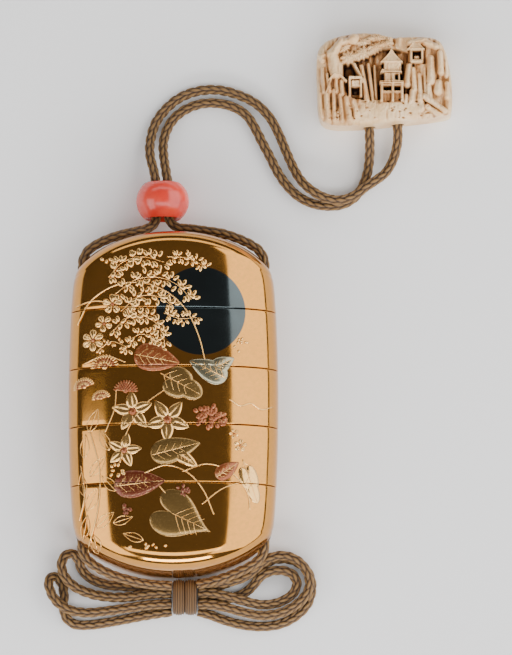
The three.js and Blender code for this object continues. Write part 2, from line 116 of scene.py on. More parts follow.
def ring_faces(rings, count, closed_ends=True):
    """Quads between rings of count points, and a fan to a tip point at both ends."""
    faces = []
    for ring in range(rings - 1):
        low = ring * count
        high = low + count
        for i in range(count):
            j = (i + 1) % count
            faces.append((low + i, low + j, high + j, high + i))
    if closed_ends:
        first = rings * count
        top = (rings - 1) * count
        for i in range(count):
            j = (i + 1) % count
            faces.append((first, j, i))
            faces.append((first + 1, top + i, top + j))
    return faces


def boolean(obj, other, operation):
    """Joins or cuts by another object, which is then removed."""
    modifier = obj.modifiers.new("cut", "BOOLEAN")
    modifier.operation = operation
    modifier.solver = "MANIFOLD"
    modifier.object = other
    apply_modifiers(obj)
    bpy.data.objects.remove(other, do_unlink=True)


def apply_modifiers(obj):
    graph = bpy.context.evaluated_depsgraph_get()
    mesh = bpy.data.meshes.new_from_object(obj.evaluated_get(graph))
    old = obj.data
    obj.modifiers.clear()
    obj.data = mesh
    bpy.data.meshes.remove(old)


def signed_power(value, power):
    return math.copysign(abs(value) ** power, value)


# ---------------------------------------------------------------- materials


class Nodes:
    """Short calls for making a shader's node tree."""

    def __init__(self, name):
        self.material = bpy.data.materials.new(name)
        self.material.use_nodes = True
        self.tree = self.material.node_tree
        self.shader = self.tree.nodes["Principled BSDF"]

    def node(self, kind, **settings):
        made = self.tree.nodes.new(kind)
        for key, value in settings.items():
            setattr(made, key, value)
        return made

    def link(self, source, target):
        self.tree.links.new(source, target)

    def put(self, node, socket, value):
        if isinstance(value, bpy.types.NodeSocket):
            self.link(value, node.inputs[socket])
        else:
            node.inputs[socket].default_value = value

    def position(self):
        return self.node("ShaderNodeNewGeometry").outputs["Position"]

    def noise(self, scale, detail=4.0, roughness=0.5, vector=None):
        made = self.node("ShaderNodeTexNoise")
        self.link(vector or self.position(), made.inputs["Vector"])
        made.inputs["Scale"].default_value = scale
        made.inputs["Detail"].default_value = detail
        made.inputs["Roughness"].default_value = roughness
        return made.outputs["Fac"]

    def ramp(self, value, stops):
        made = self.node("ShaderNodeValToRGB")
        self.link(value, made.inputs["Fac"])
        ramp = made.color_ramp
        while len(ramp.elements) < len(stops):
            ramp.elements.new(0.5)
        for element, (place, colour) in zip(ramp.elements, stops):
            element.position = place
            element.color = (*colour, 1)
        return made.outputs["Color"]

    def span(self, value, low, high, to_low=0.0, to_high=1.0):
        made = self.node("ShaderNodeMapRange")
        self.link(value, made.inputs["Value"])
        made.inputs["From Min"].default_value = low
        made.inputs["From Max"].default_value = high
        made.inputs["To Min"].default_value = to_low
        made.inputs["To Max"].default_value = to_high
        return made.outputs["Result"]

    def math(self, operation, a, b=0.0, clamp=False):
        made = self.node("ShaderNodeMath", operation=operation, use_clamp=clamp)
        self.put(made, 0, a)
        self.put(made, 1, b)
        return made.outputs[0]

    def mix(self, factor, a, b, blend="MIX"):
        made = self.node("ShaderNodeMix", data_type="RGBA", blend_type=blend)
        self.put(made, 0, factor)
        self.put(made, 6, a if isinstance(a, bpy.types.NodeSocket) else (*a, 1))
        self.put(made, 7, b if isinstance(b, bpy.types.NodeSocket) else (*b, 1))
        return made.outputs[2]

    def attribute(self, name):
        return self.node("ShaderNodeAttribute", attribute_name=name).outputs["Fac"]

    def bump(self, height, distance, strength=1.0):
        made = self.node("ShaderNodeBump")
        self.link(height, made.inputs["Height"])
        made.inputs["Distance"].default_value = distance
        made.inputs["Strength"].default_value = strength
        self.link(made.outputs["Normal"], self.shader.inputs["Normal"])

    def set(self, **values):
        for key, value in values.items():
            self.put(self.shader, key.replace("_", " "), value)


def srgb(red, green, blue):
    """A colour given as it looks on screen, 0 to 255, as linear light."""

    def linear(value):
        value /= 255
        return value / 12.92 if value <= 0.04045 else ((value + 0.055) / 1.055) ** 2.4

    return tuple(linear(value) for value in (red, green, blue))


def gold_lacquer():
    """Polished gold, with the moon's disc of grey silver let into the front."""
    made = Nodes("gold_lacquer")
    place = made.position()
    grain = made.noise(900, 3)
    cloud = made.noise(55, 4)
    gold = made.mix(cloud, srgb(196, 134, 58), srgb(208, 148, 70))
    gold = made.mix(made.span(grain, 0.35, 0.75, 0, 0.25), gold, srgb(160, 112, 56))
    silver = made.mix(made.noise(90, 4), srgb(64, 68, 68), srgb(84, 98, 102))
    apart = made.node("ShaderNodeVectorMath", operation="SUBTRACT")
    made.link(place, apart.inputs[0])
    apart.inputs[1].default_value = (MOON[0] * MM, MOON[1] * MM, 0)
    flat = made.node("ShaderNodeSeparateXYZ")
    made.link(apart.outputs["Vector"], flat.inputs["Vector"])
    square = made.math("ADD", made.math("POWER", flat.outputs["X"], 2), made.math("POWER", flat.outputs["Y"], 2))
    reach = made.math("SQRT", square)
    disc = made.span(reach, (MOON[2] + 0.08) * MM, (MOON[2] - 0.08) * MM)
    disc = made.math("MULTIPLY", disc, made.math("GREATER_THAN", flat.outputs["Z"], MID_Z * MM))
    colour = made.mix(disc, gold, silver)
    made.set(Base_Color=colour, Metallic=0.95, Coat_Weight=0.12, Coat_Roughness=0.04)
    made.set(Roughness=made.span(made.noise(120, 5), 0.3, 0.7, 0.08, 0.13))
    made.bump(made.noise(60, 3), 0.00003)
    return made.material


def raised_lacquer(name, colour, metallic, roughness):
    made = Nodes(name)
    speck = made.span(made.noise(2600, 2), 0.55, 0.75, 0, 0.5)
    tone = made.mix(speck, colour, srgb(236, 196, 130))
    made.set(Base_Color=tone, Metallic=metallic, Roughness=roughness, Coat_Weight=0.3)
    made.set(Coat_Roughness=0.08)
    made.bump(made.noise(1500, 3), 0.00002)
    return made.material


def silk(name="silk"):
    made = Nodes(name)
    height = made.attribute("height")
    threads = made.node("ShaderNodeTexWave", wave_type="BANDS", bands_direction="DIAGONAL")
    made.link(made.position(), threads.inputs["Vector"])
    threads.inputs["Scale"].default_value = 1600
    threads.inputs["Distortion"].default_value = 1.5
    # Painted shade: the stitch height darkens the silk nearly to black in the grooves and lightens it on the stitch
    # tops.
    tone = made.ramp(
        height,
        [(0.0, srgb(22, 12, 4)), (0.4, srgb(70, 46, 20)), (1.0, srgb(136, 102, 54))],
    )
    tone = made.mix(made.span(made.noise(400, 3), 0.3, 0.7, 0, 0.3), tone, srgb(98, 68, 36))
    made.set(Base_Color=tone, Roughness=0.62, Sheen_Weight=0.08, Sheen_Roughness=0.4)
    made.bump(threads.outputs["Fac"], 0.00004, 0.6)
    return made.material


def coral():
    made = Nodes("coral")
    cloud = made.noise(160, 5, 0.6)
    colour = made.ramp(
        cloud, [(0.25, srgb(204, 48, 36)), (0.5, srgb(224, 64, 48)), (0.8, srgb(234, 84, 64))]
    )
    made.set(Base_Color=colour, Roughness=0.24, Coat_Weight=0.3, Coat_Roughness=0.12)
    made.set(Subsurface_Weight=0.15, Subsurface_Radius=(0.002, 0.0008, 0.0005))
    made.bump(made.noise(700, 4), 0.00003)
    return made.material


def ivory():
    made = Nodes("ivory")
    cloud = made.noise(140, 5, 0.6)
    colour = made.ramp(
        cloud, [(0.2, srgb(196, 144, 92)), (0.5, srgb(228, 190, 140)), (0.8, srgb(244, 218, 178))]
    )
    depth = made.attribute("cavity")
    # The hollows darken with their depth: partly the brown stain carved ivory keeps in its hollows, partly painted
    # shade, darkest in the deep recesses.
    colour = made.mix(made.span(depth, 0.05, 0.9), colour, srgb(190, 140, 88))
    colour = made.mix(made.span(depth, 0.7, 2.6), colour, srgb(58, 30, 16))
    made.set(Base_Color=colour, Roughness=0.34, Subsurface_Weight=0.08)
    made.set(Subsurface_Radius=(0.002, 0.0012, 0.0008))
    made.bump(made.noise(900, 4), 0.00004)
    return made.material


GOLD = gold_lacquer()
SILK = silk()
CORAL = coral()
IVORY = ivory()
RELIEF_TONES = [
    raised_lacquer("raised_gold", srgb(232, 182, 108), 0.92, 0.18),
    raised_lacquer("raised_rust", srgb(140, 74, 38), 0.6, 0.3),
    raised_lacquer("raised_silver", srgb(150, 146, 122), 0.9, 0.24),
    raised_lacquer("raised_olive", srgb(150, 118, 66), 0.85, 0.24),
    raised_lacquer("raised_dark_red", srgb(104, 46, 26), 0.5, 0.28),
]


# ---------------------------------------------------------------- cords

# The routes of the free cords, in millimetres, as the model gives them.
CORD_ROUTES = {
    "cord_left": [
        (-23.4, 35.1, 11.85), (-23.35, 37.4, 11.85), (-22.2, 39.9, 11.8), (-19.9, 41.7, 11.7),
        (-16.6, 43.3, 11.5), (-13.1, 44.5, 11.1), (-9.6, 45.4, 10.3), (-6.9, 46.3, 9.1),
        (-5.1, 47.8, 7.7), (-4.45, 50.2, 6.9), (-4.45, 53.8, 6.85), (-4.55, 57.5, 6.7),
        (-5.2, 62.0, 5.6), (-6.2, 66.4, 4.0), (-6.1, 70.6, 2.5), (-4.7, 75.4, 1.6),
        (-1.9, 79.2, 1.4), (1.8, 82.1, 1.4), (6.8, 83.8, 1.4), (11.9, 83.9, 1.4),
        (17.1, 82.5, 1.4), (21.4, 80.2, 1.4), (24.7, 76.8, 1.4), (27, 72.6, 1.4),
        (29, 67.8, 1.4), (30.9, 63.4, 1.9), (33.1, 59.6, 3.1), (36.1, 56.8, 4.1),
        (39.7, 55.0, 4.2), (43.5, 54.7, 4.2), (46.8, 55.9, 4.2), (49.5, 58.0, 4.2),
        (52.2, 59.9, 3.6), (54.8, 62.2, 2.5), (56.7, 65.6, 2.2), (57.8, 70.0, 3.1),
        (57.8, 74.2, 4.0), (57.4, 78.6, 4.0),
    ],
    "cord_right": [
        (23.4, 35.1, 11.85), (23.35, 37.4, 11.85), (22.2, 39.9, 11.8), (19.9, 41.7, 11.7),
        (16.6, 43.3, 11.5), (12.6, 44.7, 11.1), (8.4, 45.5, 10.4), (4.4, 46.2, 9.4),
        (1.0, 46.8, 8.2), (-0.8, 48.3, 7.3), (-1.35, 50.6, 6.9), (-1.35, 53.8, 6.85),
        (-1.45, 57.5, 6.7), (-2.0, 61.5, 5.7), (-2.6, 65.8, 4.1), (-2.75, 69.8, 2.5),
        (-1.7, 73.8, 1.6), (0.4, 76.9, 1.4), (3.5, 79.1, 1.4), (7.5, 80.4, 1.4),
        (11.7, 80.4, 1.4), (15.7, 79.3, 1.4), (18.8, 77.2, 1.4), (20.9, 74.0, 1.4),
        (22.8, 70.2, 1.4), (24.8, 66.4, 1.4), (26.8, 62.4, 1.4), (29.1, 59.0, 1.4),
        (32.2, 56.0, 1.4), (36.0, 54.1, 1.4), (39.8, 53.5, 1.4), (43.5, 53.9, 1.4),
        (46.4, 55.5, 1.4), (48.2, 57.6, 1.4), (49.4, 60.2, 1.4), (50.2, 63.0, 1.5),
        (50.6, 67.2, 2.3), (50.6, 71.0, 3.5), (50.4, 74.4, 4.0), (50.0, 77.9, 4.0),
    ],
    "cord_tie_left": [
        (-23.4, -35.1, 11.85), (-23.35, -37.4, 11.85), (-22.2, -39.9, 11.8), (-19.6, -42.0, 11.4),
        (-15.6, -43.9, 10.4), (-11.2, -45.1, 9.1), (-6.6, -45.9, 7.7), (-0.5, -46.2, 6.4),
    ],
    "cord_tie_right": [
        (23.4, -35.1, 11.85), (23.35, -37.4, 11.85), (22.2, -39.9, 11.8), (19.9, -41.7, 11.4),
        (16.4, -43.3, 10.4), (12.8, -44.6, 9.1), (9.6, -45.4, 7.9), (6.3, -45.9, 6.6),
    ],
    "bow_left_short": [
        (-0.5, -47.8, 3.9), (-5.1, -47.9, 3.7), (-10.8, -48.6, 3.3), (-16.1, -48.7, 3.1),
        (-21, -47.9, 3.1), (-25.1, -46.2, 3.4), (-27.8, -43.7, 4.0), (-28.8, -40.8, 4.2),
        (-28, -38.2, 4.0), (-26, -37.5, 3.5), (-24.5, -39, 2.6), (-23.6, -41.4, 1.7),
        (-21.4, -43.6, 1.35), (-17.6, -45.2, 1.35), (-12.4, -45.7, 1.35), (-6.9, -46.1, 1.35),
        (-0.5, -46.5, 1.35),
    ],
    "bow_left_long": [
        (-0.5, -50.5, 4.0), (-5.9, -50.8, 3.9), (-11.4, -51.5, 3.6), (-17, -52.3, 3.4),
        (-22.6, -52.8, 3.7), (-27, -52.0, 4.1), (-30, -49.9, 4.1), (-31.7, -47, 3.9),
        (-32, -44.3, 3.2), (-30.6, -43.2, 2.0), (-28.9, -44.7, 1.35), (-28.2, -47.6, 1.35),
        (-28.3, -50.8, 1.35), (-27.6, -53.7, 1.35), (-25.4, -55.5, 1.35), (-21.6, -55.7, 1.35),
        (-17, -55.1, 1.35), (-12.2, -54.2, 1.35), (-6.4, -53.1, 1.35), (-0.5, -52.2, 1.35),
    ],
    "bow_right_short": [
        (6.3, -47.9, 4.0), (9.4, -47.8, 4.1), (13.8, -48.6, 4.2), (18.5, -49.9, 4.0),
        (23, -50.7, 3.4), (27.4, -49.9, 3.0), (30.6, -47.8, 2.8), (31.7, -45.1, 2.7),
        (30.7, -42.9, 2.7), (28.4, -41.8, 2.7), (25.3, -41.9, 2.7), (22.6, -43.1, 2.5),
        (20.9, -45, 2.0), (19, -46.9, 1.5), (15.6, -48.5, 1.35), (11.2, -49.4, 1.35),
        (6.3, -49.5, 1.35),
    ],
    "bow_right_middle": [
        (6.3, -50.6, 4.0), (9.4, -50.7, 4.1), (13.8, -51.6, 4.2), (18.5, -52.9, 4.2),
        (23, -53.6, 4.2), (27.6, -52.9, 4.2), (31.3, -51.0, 4.2), (34.1, -48.2, 4.2),
        (35, -45.3, 4.2), (34.2, -42.1, 4.2), (31.9, -39.4, 4.2), (28.6, -38.1, 4.2),
        (25.3, -38.5, 4.2), (22.6, -40.1, 4.2), (19.8, -42.6, 4.2), (16.6, -44.3, 4.2),
        (12.6, -45.1, 4.1), (6.3, -45.25, 3.9),
    ],
    "bow_right_long": [
        (6.3, -52.2, 1.35), (9.4, -53.1, 1.35), (13.8, -54.7, 1.35), (18.5, -55.8, 1.35),
        (23, -56.1, 1.35), (27.6, -55.4, 1.35), (31.4, -53.4, 1.35), (34.3, -50.4, 1.35),
        (35.5, -46.7, 1.35), (35.1, -43.2, 1.35), (33.3, -40.4, 1.35), (30.9, -39, 1.35),
        (28.4, -38.5, 1.35), (25.4, -38.9, 1.35), (22.6, -40.4, 1.35), (19.9, -42.1, 1.35),
        (16.8, -43.7, 1.35), (12.4, -45.3, 1.35), (6.3, -46.8, 1.35),
    ],
}

BRAID_PITCH = 2.5
BRAID_ROWS = 6
BRAID_AROUND = 42
BRAID_STEPS = 10  # rings in one stitch
GROOVE = 0.5


def smooth_route(points, spacing):
    """Points at an even spacing on the centripetal curve through the given ones."""
    knots = [Vector(p) for p in points]
    knots = [2 * knots[0] - knots[1], *knots, 2 * knots[-1] - knots[-2]]
    fine = []
    for a, b, c, d in zip(knots, knots[1:], knots[2:], knots[3:]):
        times = [0.0]
        for near, far in ((a, b), (b, c), (c, d)):
            times.append(times[-1] + math.sqrt((far - near).length))
        t0, t1, t2, t3 = times
        for i in range(24):
            t = t1 + (t2 - t1) * i / 24
            ab = a.lerp(b, (t - t0) / (t1 - t0))
            bc = b.lerp(c, (t - t1) / (t2 - t1))
            cd = c.lerp(d, (t - t2) / (t3 - t2))
            abc = ab.lerp(bc, (t - t0) / (t2 - t0))
            bcd = bc.lerp(cd, (t - t1) / (t3 - t1))
            fine.append(abc.lerp(bcd, (t - t1) / (t2 - t1)))
    fine.append(knots[-2])
    along = np.concatenate(
        [[0], np.cumsum([(q - p).length for p, q in zip(fine, fine[1:])])]
    )
    count = max(4, round(along[-1] / spacing))
    places = np.linspace(0, along[-1], count + 1)
    coords = np.array([tuple(p) for p in fine])
    return [Vector(np.array([np.interp(s, along, coords[:, k]) for k in range(3)])) for s in places]


def stitch_height(along, row_angle):
    """0 in the grooves and 1 on top of a stitch of the round braid."""
    rows = row_angle / (2 * math.pi) * BRAID_ROWS
    row = math.floor(rows) % BRAID_ROWS
    across = rows - math.floor(rows) - 0.5
    lean = 0.62 if row % 2 else -0.62
    place = along / BRAID_PITCH + 0.5 * (row % 2) + lean * across
    middle = place - math.floor(place) - 0.5
    reach = abs(2 * middle) ** 2.2 + abs(2 * across) ** 2.6
    return math.sqrt(max(0.0, 1 - reach)) if reach < 1 else 0.0


def braid(name, points, ends_closed=True, twist=0.0):
    """A round braided cord along a route, with its path and its length."""
    centres = smooth_route(points, BRAID_PITCH / BRAID_STEPS)
    length = sum((q - p).length for p, q in zip(centres, centres[1:]))
    up = Vector((0, 0, 1))
    rings = []
    shade_heights = []
    for i, centre in enumerate(centres):
        ahead = centres[min(i + 1, len(centres) - 1)] - centres[max(i - 1, 0)]
        ahead.normalize()
        side = ahead.cross(up).normalized()
        lift = side.cross(ahead)
        along = i * length / (len(centres) - 1)
        roll = twist * math.sin(along / 17 + len(name))
        for k in range(BRAID_AROUND):
            angle = 2 * math.pi * k / BRAID_AROUND
            height = stitch_height(along, angle)
            radius = CORD_DIAMETER / 2 * 1.02 - GROOVE * (1 - height)
            turn = angle + roll
            rings.append(centre + radius * (math.cos(turn) * side + math.sin(turn) * lift))
            shade_heights.append(height)
    faces = ring_faces(len(centres), BRAID_AROUND)
    rings += [centres[0], centres[-1]]
    shade_heights += [0.2, 0.2]
    obj = mesh_object(name, rings, faces, [SILK])
    turn_outwards(obj)
    # The stitch heights go to the silk's colour as painted shade in the grooves.
    attribute = obj.data.attributes.new("height", "FLOAT", "POINT")
    attribute.data.foreach_set("value", shade_heights)
    return obj, centres, length


# The two strands between the case and the knot are held at both ends, and too short to be
# free cords; they go with the bow's first loop.
HELD = ("cord_tie_left", "cord_tie_right")


def silk_piece(name, points):
    obj, centres, length = braid("braided_" + name, points, twist=0.25)
    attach(obj, ROOT)
    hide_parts(name)
    return obj, centres, length


def add_cords(bead, toggle, knot):
    ties = [silk_piece(name, CORD_ROUTES[name])[0] for name in HELD]
    going_along = {
        "cord_left": [bead, toggle],
        "cord_right": [bead, toggle],
        "bow_left_short": [knot, *ties],
    }
    for name, points in CORD_ROUTES.items():
        if name in HELD:
            continue
        obj, centres, length = silk_piece(name, points)
        tuple(c * MM for c in points[0])
        [tuple(c * MM for c in p) for p in centres]
        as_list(going_along.get(name, [knot]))
    for side in ("left", "right"):
        name = "cord_run_" + side
        low, high = (Vector(corner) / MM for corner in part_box(name))
        middle = (low + high) / 2
        silk_piece(name, [(middle.x, y, middle.z) for y in (low.y, middle.y, high.y)])


KNOT_BANDS = 2
KNOT_THREADS = 5  # ridges across one band
KNOT_OVAL = 2.6


def bow_knot():
    """The wrapped middle of the bow: two rounded bands of fine threads, on the knot's form."""
    low, high = (Vector(c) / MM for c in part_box("bow_knot"))
    centre = (low + high) / 2
    half = (high - low) / 2
    across, count = 96, 96
    rings, shade_heights = [], []
    for i in range(across + 1):
        share = i / across
        band = abs(math.sin(KNOT_BANDS * math.pi * share)) ** 0.45
        thread = 0.5 - 0.5 * math.cos(2 * math.pi * KNOT_BANDS * KNOT_THREADS * share)
        size = 0.8 + 0.15 * band + 0.05 * thread
        x = low.x + 0.02 + (2 * half.x - 0.04) * share
        for k in range(count):
            angle = 2 * math.pi * k / count
            y = half.y * size * signed_power(math.cos(angle), 2 / KNOT_OVAL)
            z = half.z * size * signed_power(math.sin(angle), 2 / KNOT_OVAL)
            rings.append(Vector((x, centre.y + y, centre.z + z)))
            shade_heights.append(0.25 * band + 0.5 * thread)
    rings += [Vector((low.x + 0.02, centre.y, centre.z)), Vector((high.x - 0.02, centre.y, centre.z))]
    shade_heights += [0.0, 0.0]
    obj = mesh_object("wrapped_knot", rings, ring_faces(across + 1, count), [SILK])
    turn_outwards(obj)
    # The thread and band heights go to the silk's colour as painted shade between the threads and between the two
    # bands.
    attribute = obj.data.attributes.new("height", "FLOAT", "POINT")
    attribute.data.foreach_set("value", shade_heights)
    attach(obj, ROOT)
    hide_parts("bow_knot")
    return obj


# ---------------------------------------------------------------- the case

AROUND = 288


def half_width_at(y):
    return HALF_WIDTH - SIDE_BULGE * (y / SHOULDER_Y) ** 2


def oval_angles(count):
    """Angles round the flattened oval, evened out so that the ring's points lie evenly."""
    fine = np.linspace(0, 2 * math.pi, 8 * count + 1)
    xs = HALF_WIDTH * np.sign(np.cos(fine)) * np.abs(np.cos(fine)) ** (2 / OVAL)
    zs = HALF_DEPTH * np.sign(np.sin(fine)) * np.abs(np.sin(fine)) ** (2 / OVAL)
    along = np.concatenate([[0], np.cumsum(np.hypot(np.diff(xs), np.diff(zs)))])
    return np.interp(np.linspace(0, along[-1], count, endpoint=False), along, fine)


ANGLES = oval_angles(AROUND)


def skin_ring(level):
    """A ring of the outer skin. The level runs from -1 to 1 along the straight front, and
    from there to 2 over the domed end."""
    side = math.copysign(1, level)
    over = max(0.0, abs(level) - 1)
    along = min(1.0, abs(level))
    scale = max(0.0, 1 - over**2) ** (1 / (SHOULDER_OVAL * OVAL))
    nominal = side * along * SHOULDER_Y
    end_y = side * (along * SHOULDER_Y + over * END_RISE)
    bend = along**6
    ring = []
    for angle in ANGLES:
        x = half_width_at(nominal) * scale * signed_power(math.cos(angle), 2 / OVAL)
        z = HALF_DEPTH * scale * signed_power(math.sin(angle), 2 / OVAL)
        y = end_y - side * bend * END_SAG * x * x
        ring.append(Vector((x, y, MID_Z + max(z, BACK_FLAT - HALF_DEPTH))))
    return ring


def flat_ring(y, grow=0.0):
    """The outer skin's outline in the plane at y, drawn in by grow."""
    ring = []
    for angle in ANGLES:
        x = (half_width_at(y) + grow) * signed_power(math.cos(angle), 2 / OVAL)
        z = (HALF_DEPTH + grow) * signed_power(math.sin(angle), 2 / OVAL)
        ring.append(Vector((x, y, MID_Z + max(z, BACK_FLAT - HALF_DEPTH - grow))))
    return ring


def inner_ring(y, grow=0.0):
    """The room's outline in the plane at y, widened by grow."""
    half_width, half_depth, exponent = ROOM
    ring = []
    for angle in ANGLES:
        x = (half_width + grow) * signed_power(math.cos(angle), 2 / exponent)
        z = (half_depth + grow) * signed_power(math.sin(angle), 2 / exponent)
        ring.append(Vector((x, y, MID_Z + z)))
    return ring


def front_z(x, y):
    """The height of the front skin over a place on it."""
    beyond = max(0.0, (abs(y) + END_SAG * x * x - SHOULDER_Y) / END_RISE)
    size = max(0.0, 1 - beyond**2) ** (1 / SHOULDER_OVAL)
    across = (abs(x) / half_width_at(y)) ** OVAL
    return MID_Z + HALF_DEPTH * max(0.0, size - across) ** (1 / OVAL)


EDGE = [(0.0, -0.22), (0.05, -0.1), (0.12, -0.03), (0.24, 0.0)]  # the seams' worn edges


def section(name, above, below):
    """One section as a single closed skin: room, rim, outside and recess."""
    rings = []
    high = None if above is None else above - SEAM_GAP / 2
    low = None if below is None else below + SEAM_GAP / 2
    recess_top = None if below is None else below + RIM_HEIGHT + RIM_PLAY
    if above is None:
        room_floor, room_top = recess_top, INNER_END
    else:
        room_floor = -INNER_END if below is None else recess_top + FLOOR_THICKNESS
        room_top = above + RIM_HEIGHT
    # The outside, from its lower edge to its upper edge.
    outside = []
    if low is None:
        levels = np.concatenate([-1 - np.sin(np.linspace(math.pi / 2 * 0.985, 0, 40)), []])
        outside += [skin_ring(level) for level in levels]
        start = -SHOULDER_Y
    else:
        outside += [flat_ring(low + rise, grow) for rise, grow in EDGE]
        start = low + EDGE[-1][0]
    stop = SHOULDER_Y if high is None else high - EDGE[-1][0]
    count = 14
    for i in range(1, count):
        y = start + (stop - start) * i / count
        outside.append(skin_ring(y / SHOULDER_Y))
    if high is None:
        levels = 1 + np.sin(np.linspace(0, math.pi / 2 * 0.985, 40))
        outside += [skin_ring(level) for level in levels]
    else:
        outside += [flat_ring(high - rise, grow) for rise, grow in reversed(EDGE)]
    tips = []
    if low is None:
        # From the middle of the domed end, up the outside, over the rim and into the room.
        rings += outside
        rings += [inner_ring(high, RIM_WALL), inner_ring(room_top - 0.2, RIM_WALL)]
        rings += [inner_ring(room_top, RIM_WALL - 0.2), inner_ring(room_top, 0.2)]
        rings += [inner_ring(room_top - 0.2), inner_ring(room_floor)]
        tips = [(0, -SHOULDER_Y - END_RISE, MID_Z), (0, room_floor, MID_Z)]
    elif high is None:
        rings += [inner_ring(room_top), inner_ring(recess_top), inner_ring(recess_top, RIM_WALL + RIM_PLAY)]
        rings += [inner_ring(low, RIM_WALL + RIM_PLAY)] + outside
        tips = [(0, room_top, MID_Z), (0, SHOULDER_Y + END_RISE, MID_Z)]
    else:
        rings += [inner_ring(recess_top, RIM_WALL + RIM_PLAY), inner_ring(low, RIM_WALL + RIM_PLAY)]
        rings += outside
        rings += [inner_ring(high, RIM_WALL), inner_ring(room_top - 0.2, RIM_WALL)]
        rings += [inner_ring(room_top, RIM_WALL - 0.2), inner_ring(room_top, 0.2)]
        rings += [inner_ring(room_top - 0.2), inner_ring(room_floor)]
        tips = [(0, recess_top, MID_Z), (0, room_floor, MID_Z)]
    points = [p for ring in rings for p in ring] + [Vector(t) for t in tips]
    obj = mesh_object(name, points, ring_faces(len(rings), AROUND), [GOLD])
    turn_outwards(obj)
    return obj


def bar_along_y(radius, low, high, x, end_radius=None, count=48):
    end_radius = radius if end_radius is None else end_radius
    rings = []
    for y, size in ((low, radius), (high, end_radius)):
        for k in range(count):
            angle = 2 * math.pi * k / count
            rings.append(Vector((x + size * math.cos(angle), y, MID_Z + size * math.sin(angle))))
    rings += [Vector((x, low, MID_Z)), Vector((x, high, MID_Z))]
    obj = mesh_object("bar", rings, ring_faces(2, count), [])
    turn_outwards(obj)
    return obj


def case_sections():
    names = ["lid", "case_1", "case_2", "case_3", "case_4"]
    edges = [None, *SEAMS, None]
    made = {}
    for name, above, below in zip(names, edges, edges[1:]):
        obj = section(name + "_lacquer", above, below)
        far = SHOULDER_Y + END_RISE
        mouth = CHANNEL_RUN - 0.6
        for x in (-CHANNEL_X, CHANNEL_X):
            boolean(obj, bar_along_y(CHANNEL_RADIUS, -far, far, x), "DIFFERENCE")
            if above is None:
                cone = bar_along_y(CHANNEL_RADIUS, mouth, far - 4, x, CHANNEL_MOUTH)
                boolean(obj, cone, "DIFFERENCE")
            if below is None:
                cone = bar_along_y(CHANNEL_MOUTH, 4 - far, -mouth, x, CHANNEL_RADIUS)
                boolean(obj, cone, "DIFFERENCE")
        sharpen(obj, 35)
        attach(obj, ROOT)
        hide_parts(name)
        made[name] = obj
    return made


# ---------------------------------------------------------------- raised lacquer work

# The tones of the raised work, in the order of the mesh's materials.
BRIGHT, RUST, SILVER, OLIVE, DARK_RED = range(5)


def on_skin(x, y, lift):
    """A point over the front, lifted along the surface's normal."""
    step = 0.05
    z = front_z(x, y)
    slope_x = (front_z(x + step, y) - front_z(x - step, y)) / (2 * step)
    slope_y = (front_z(x, y + step) - front_z(x, y - step)) / (2 * step)
    normal = Vector((-slope_x, -slope_y, 1)).normalized()
    return Vector((x, y, z)) + normal * lift


def closed_curve(function, count):
    return [function(2 * math.pi * i / count) for i in range(count)]


def ovate(length, width, teeth=0):
    """A pointed leaf along its first axis, its foot on the negative side."""

    def at(angle):
        along, across = math.cos(angle), math.sin(angle)
        tooth = 1 + (0.07 * (1 - 2 * abs((teeth * angle / math.pi) % 1 - 0.5)) if teeth else 0)
        taper = (1 - 0.42 * along) * (1 - 0.35 * max(0, along) ** 4)
        return (length / 2 * along * tooth, width / 2 * across * taper * tooth)

    return closed_curve(at, 72)


def heart(length, width, teeth=0):
    def at(angle):
        across = math.sin(angle) ** 3
        along = 13 * math.cos(angle) - 5 * math.cos(2 * angle) - 2 * math.cos(3 * angle)
        tooth = 1 + (0.04 * math.cos(2 * teeth * angle) if teeth else 0)
        return (-length * (along - math.cos(4 * angle)) / 29 * tooth, width / 2 * across * tooth)

    return closed_curve(at, 88)


def lobed(length, width, lobes=3):
    """A leaf of pointed lobes, its foot on the negative side."""

    def at(angle):
        reach = 0.68 + 0.32 * abs(math.cos(lobes * angle / 2)) ** 0.7
        reach *= 1 - 0.3 * max(0, -math.cos(angle)) ** 3
        return (length / 2 * reach * math.cos(angle), width / 2 * reach * math.sin(angle))

    return closed_curve(at, 80)


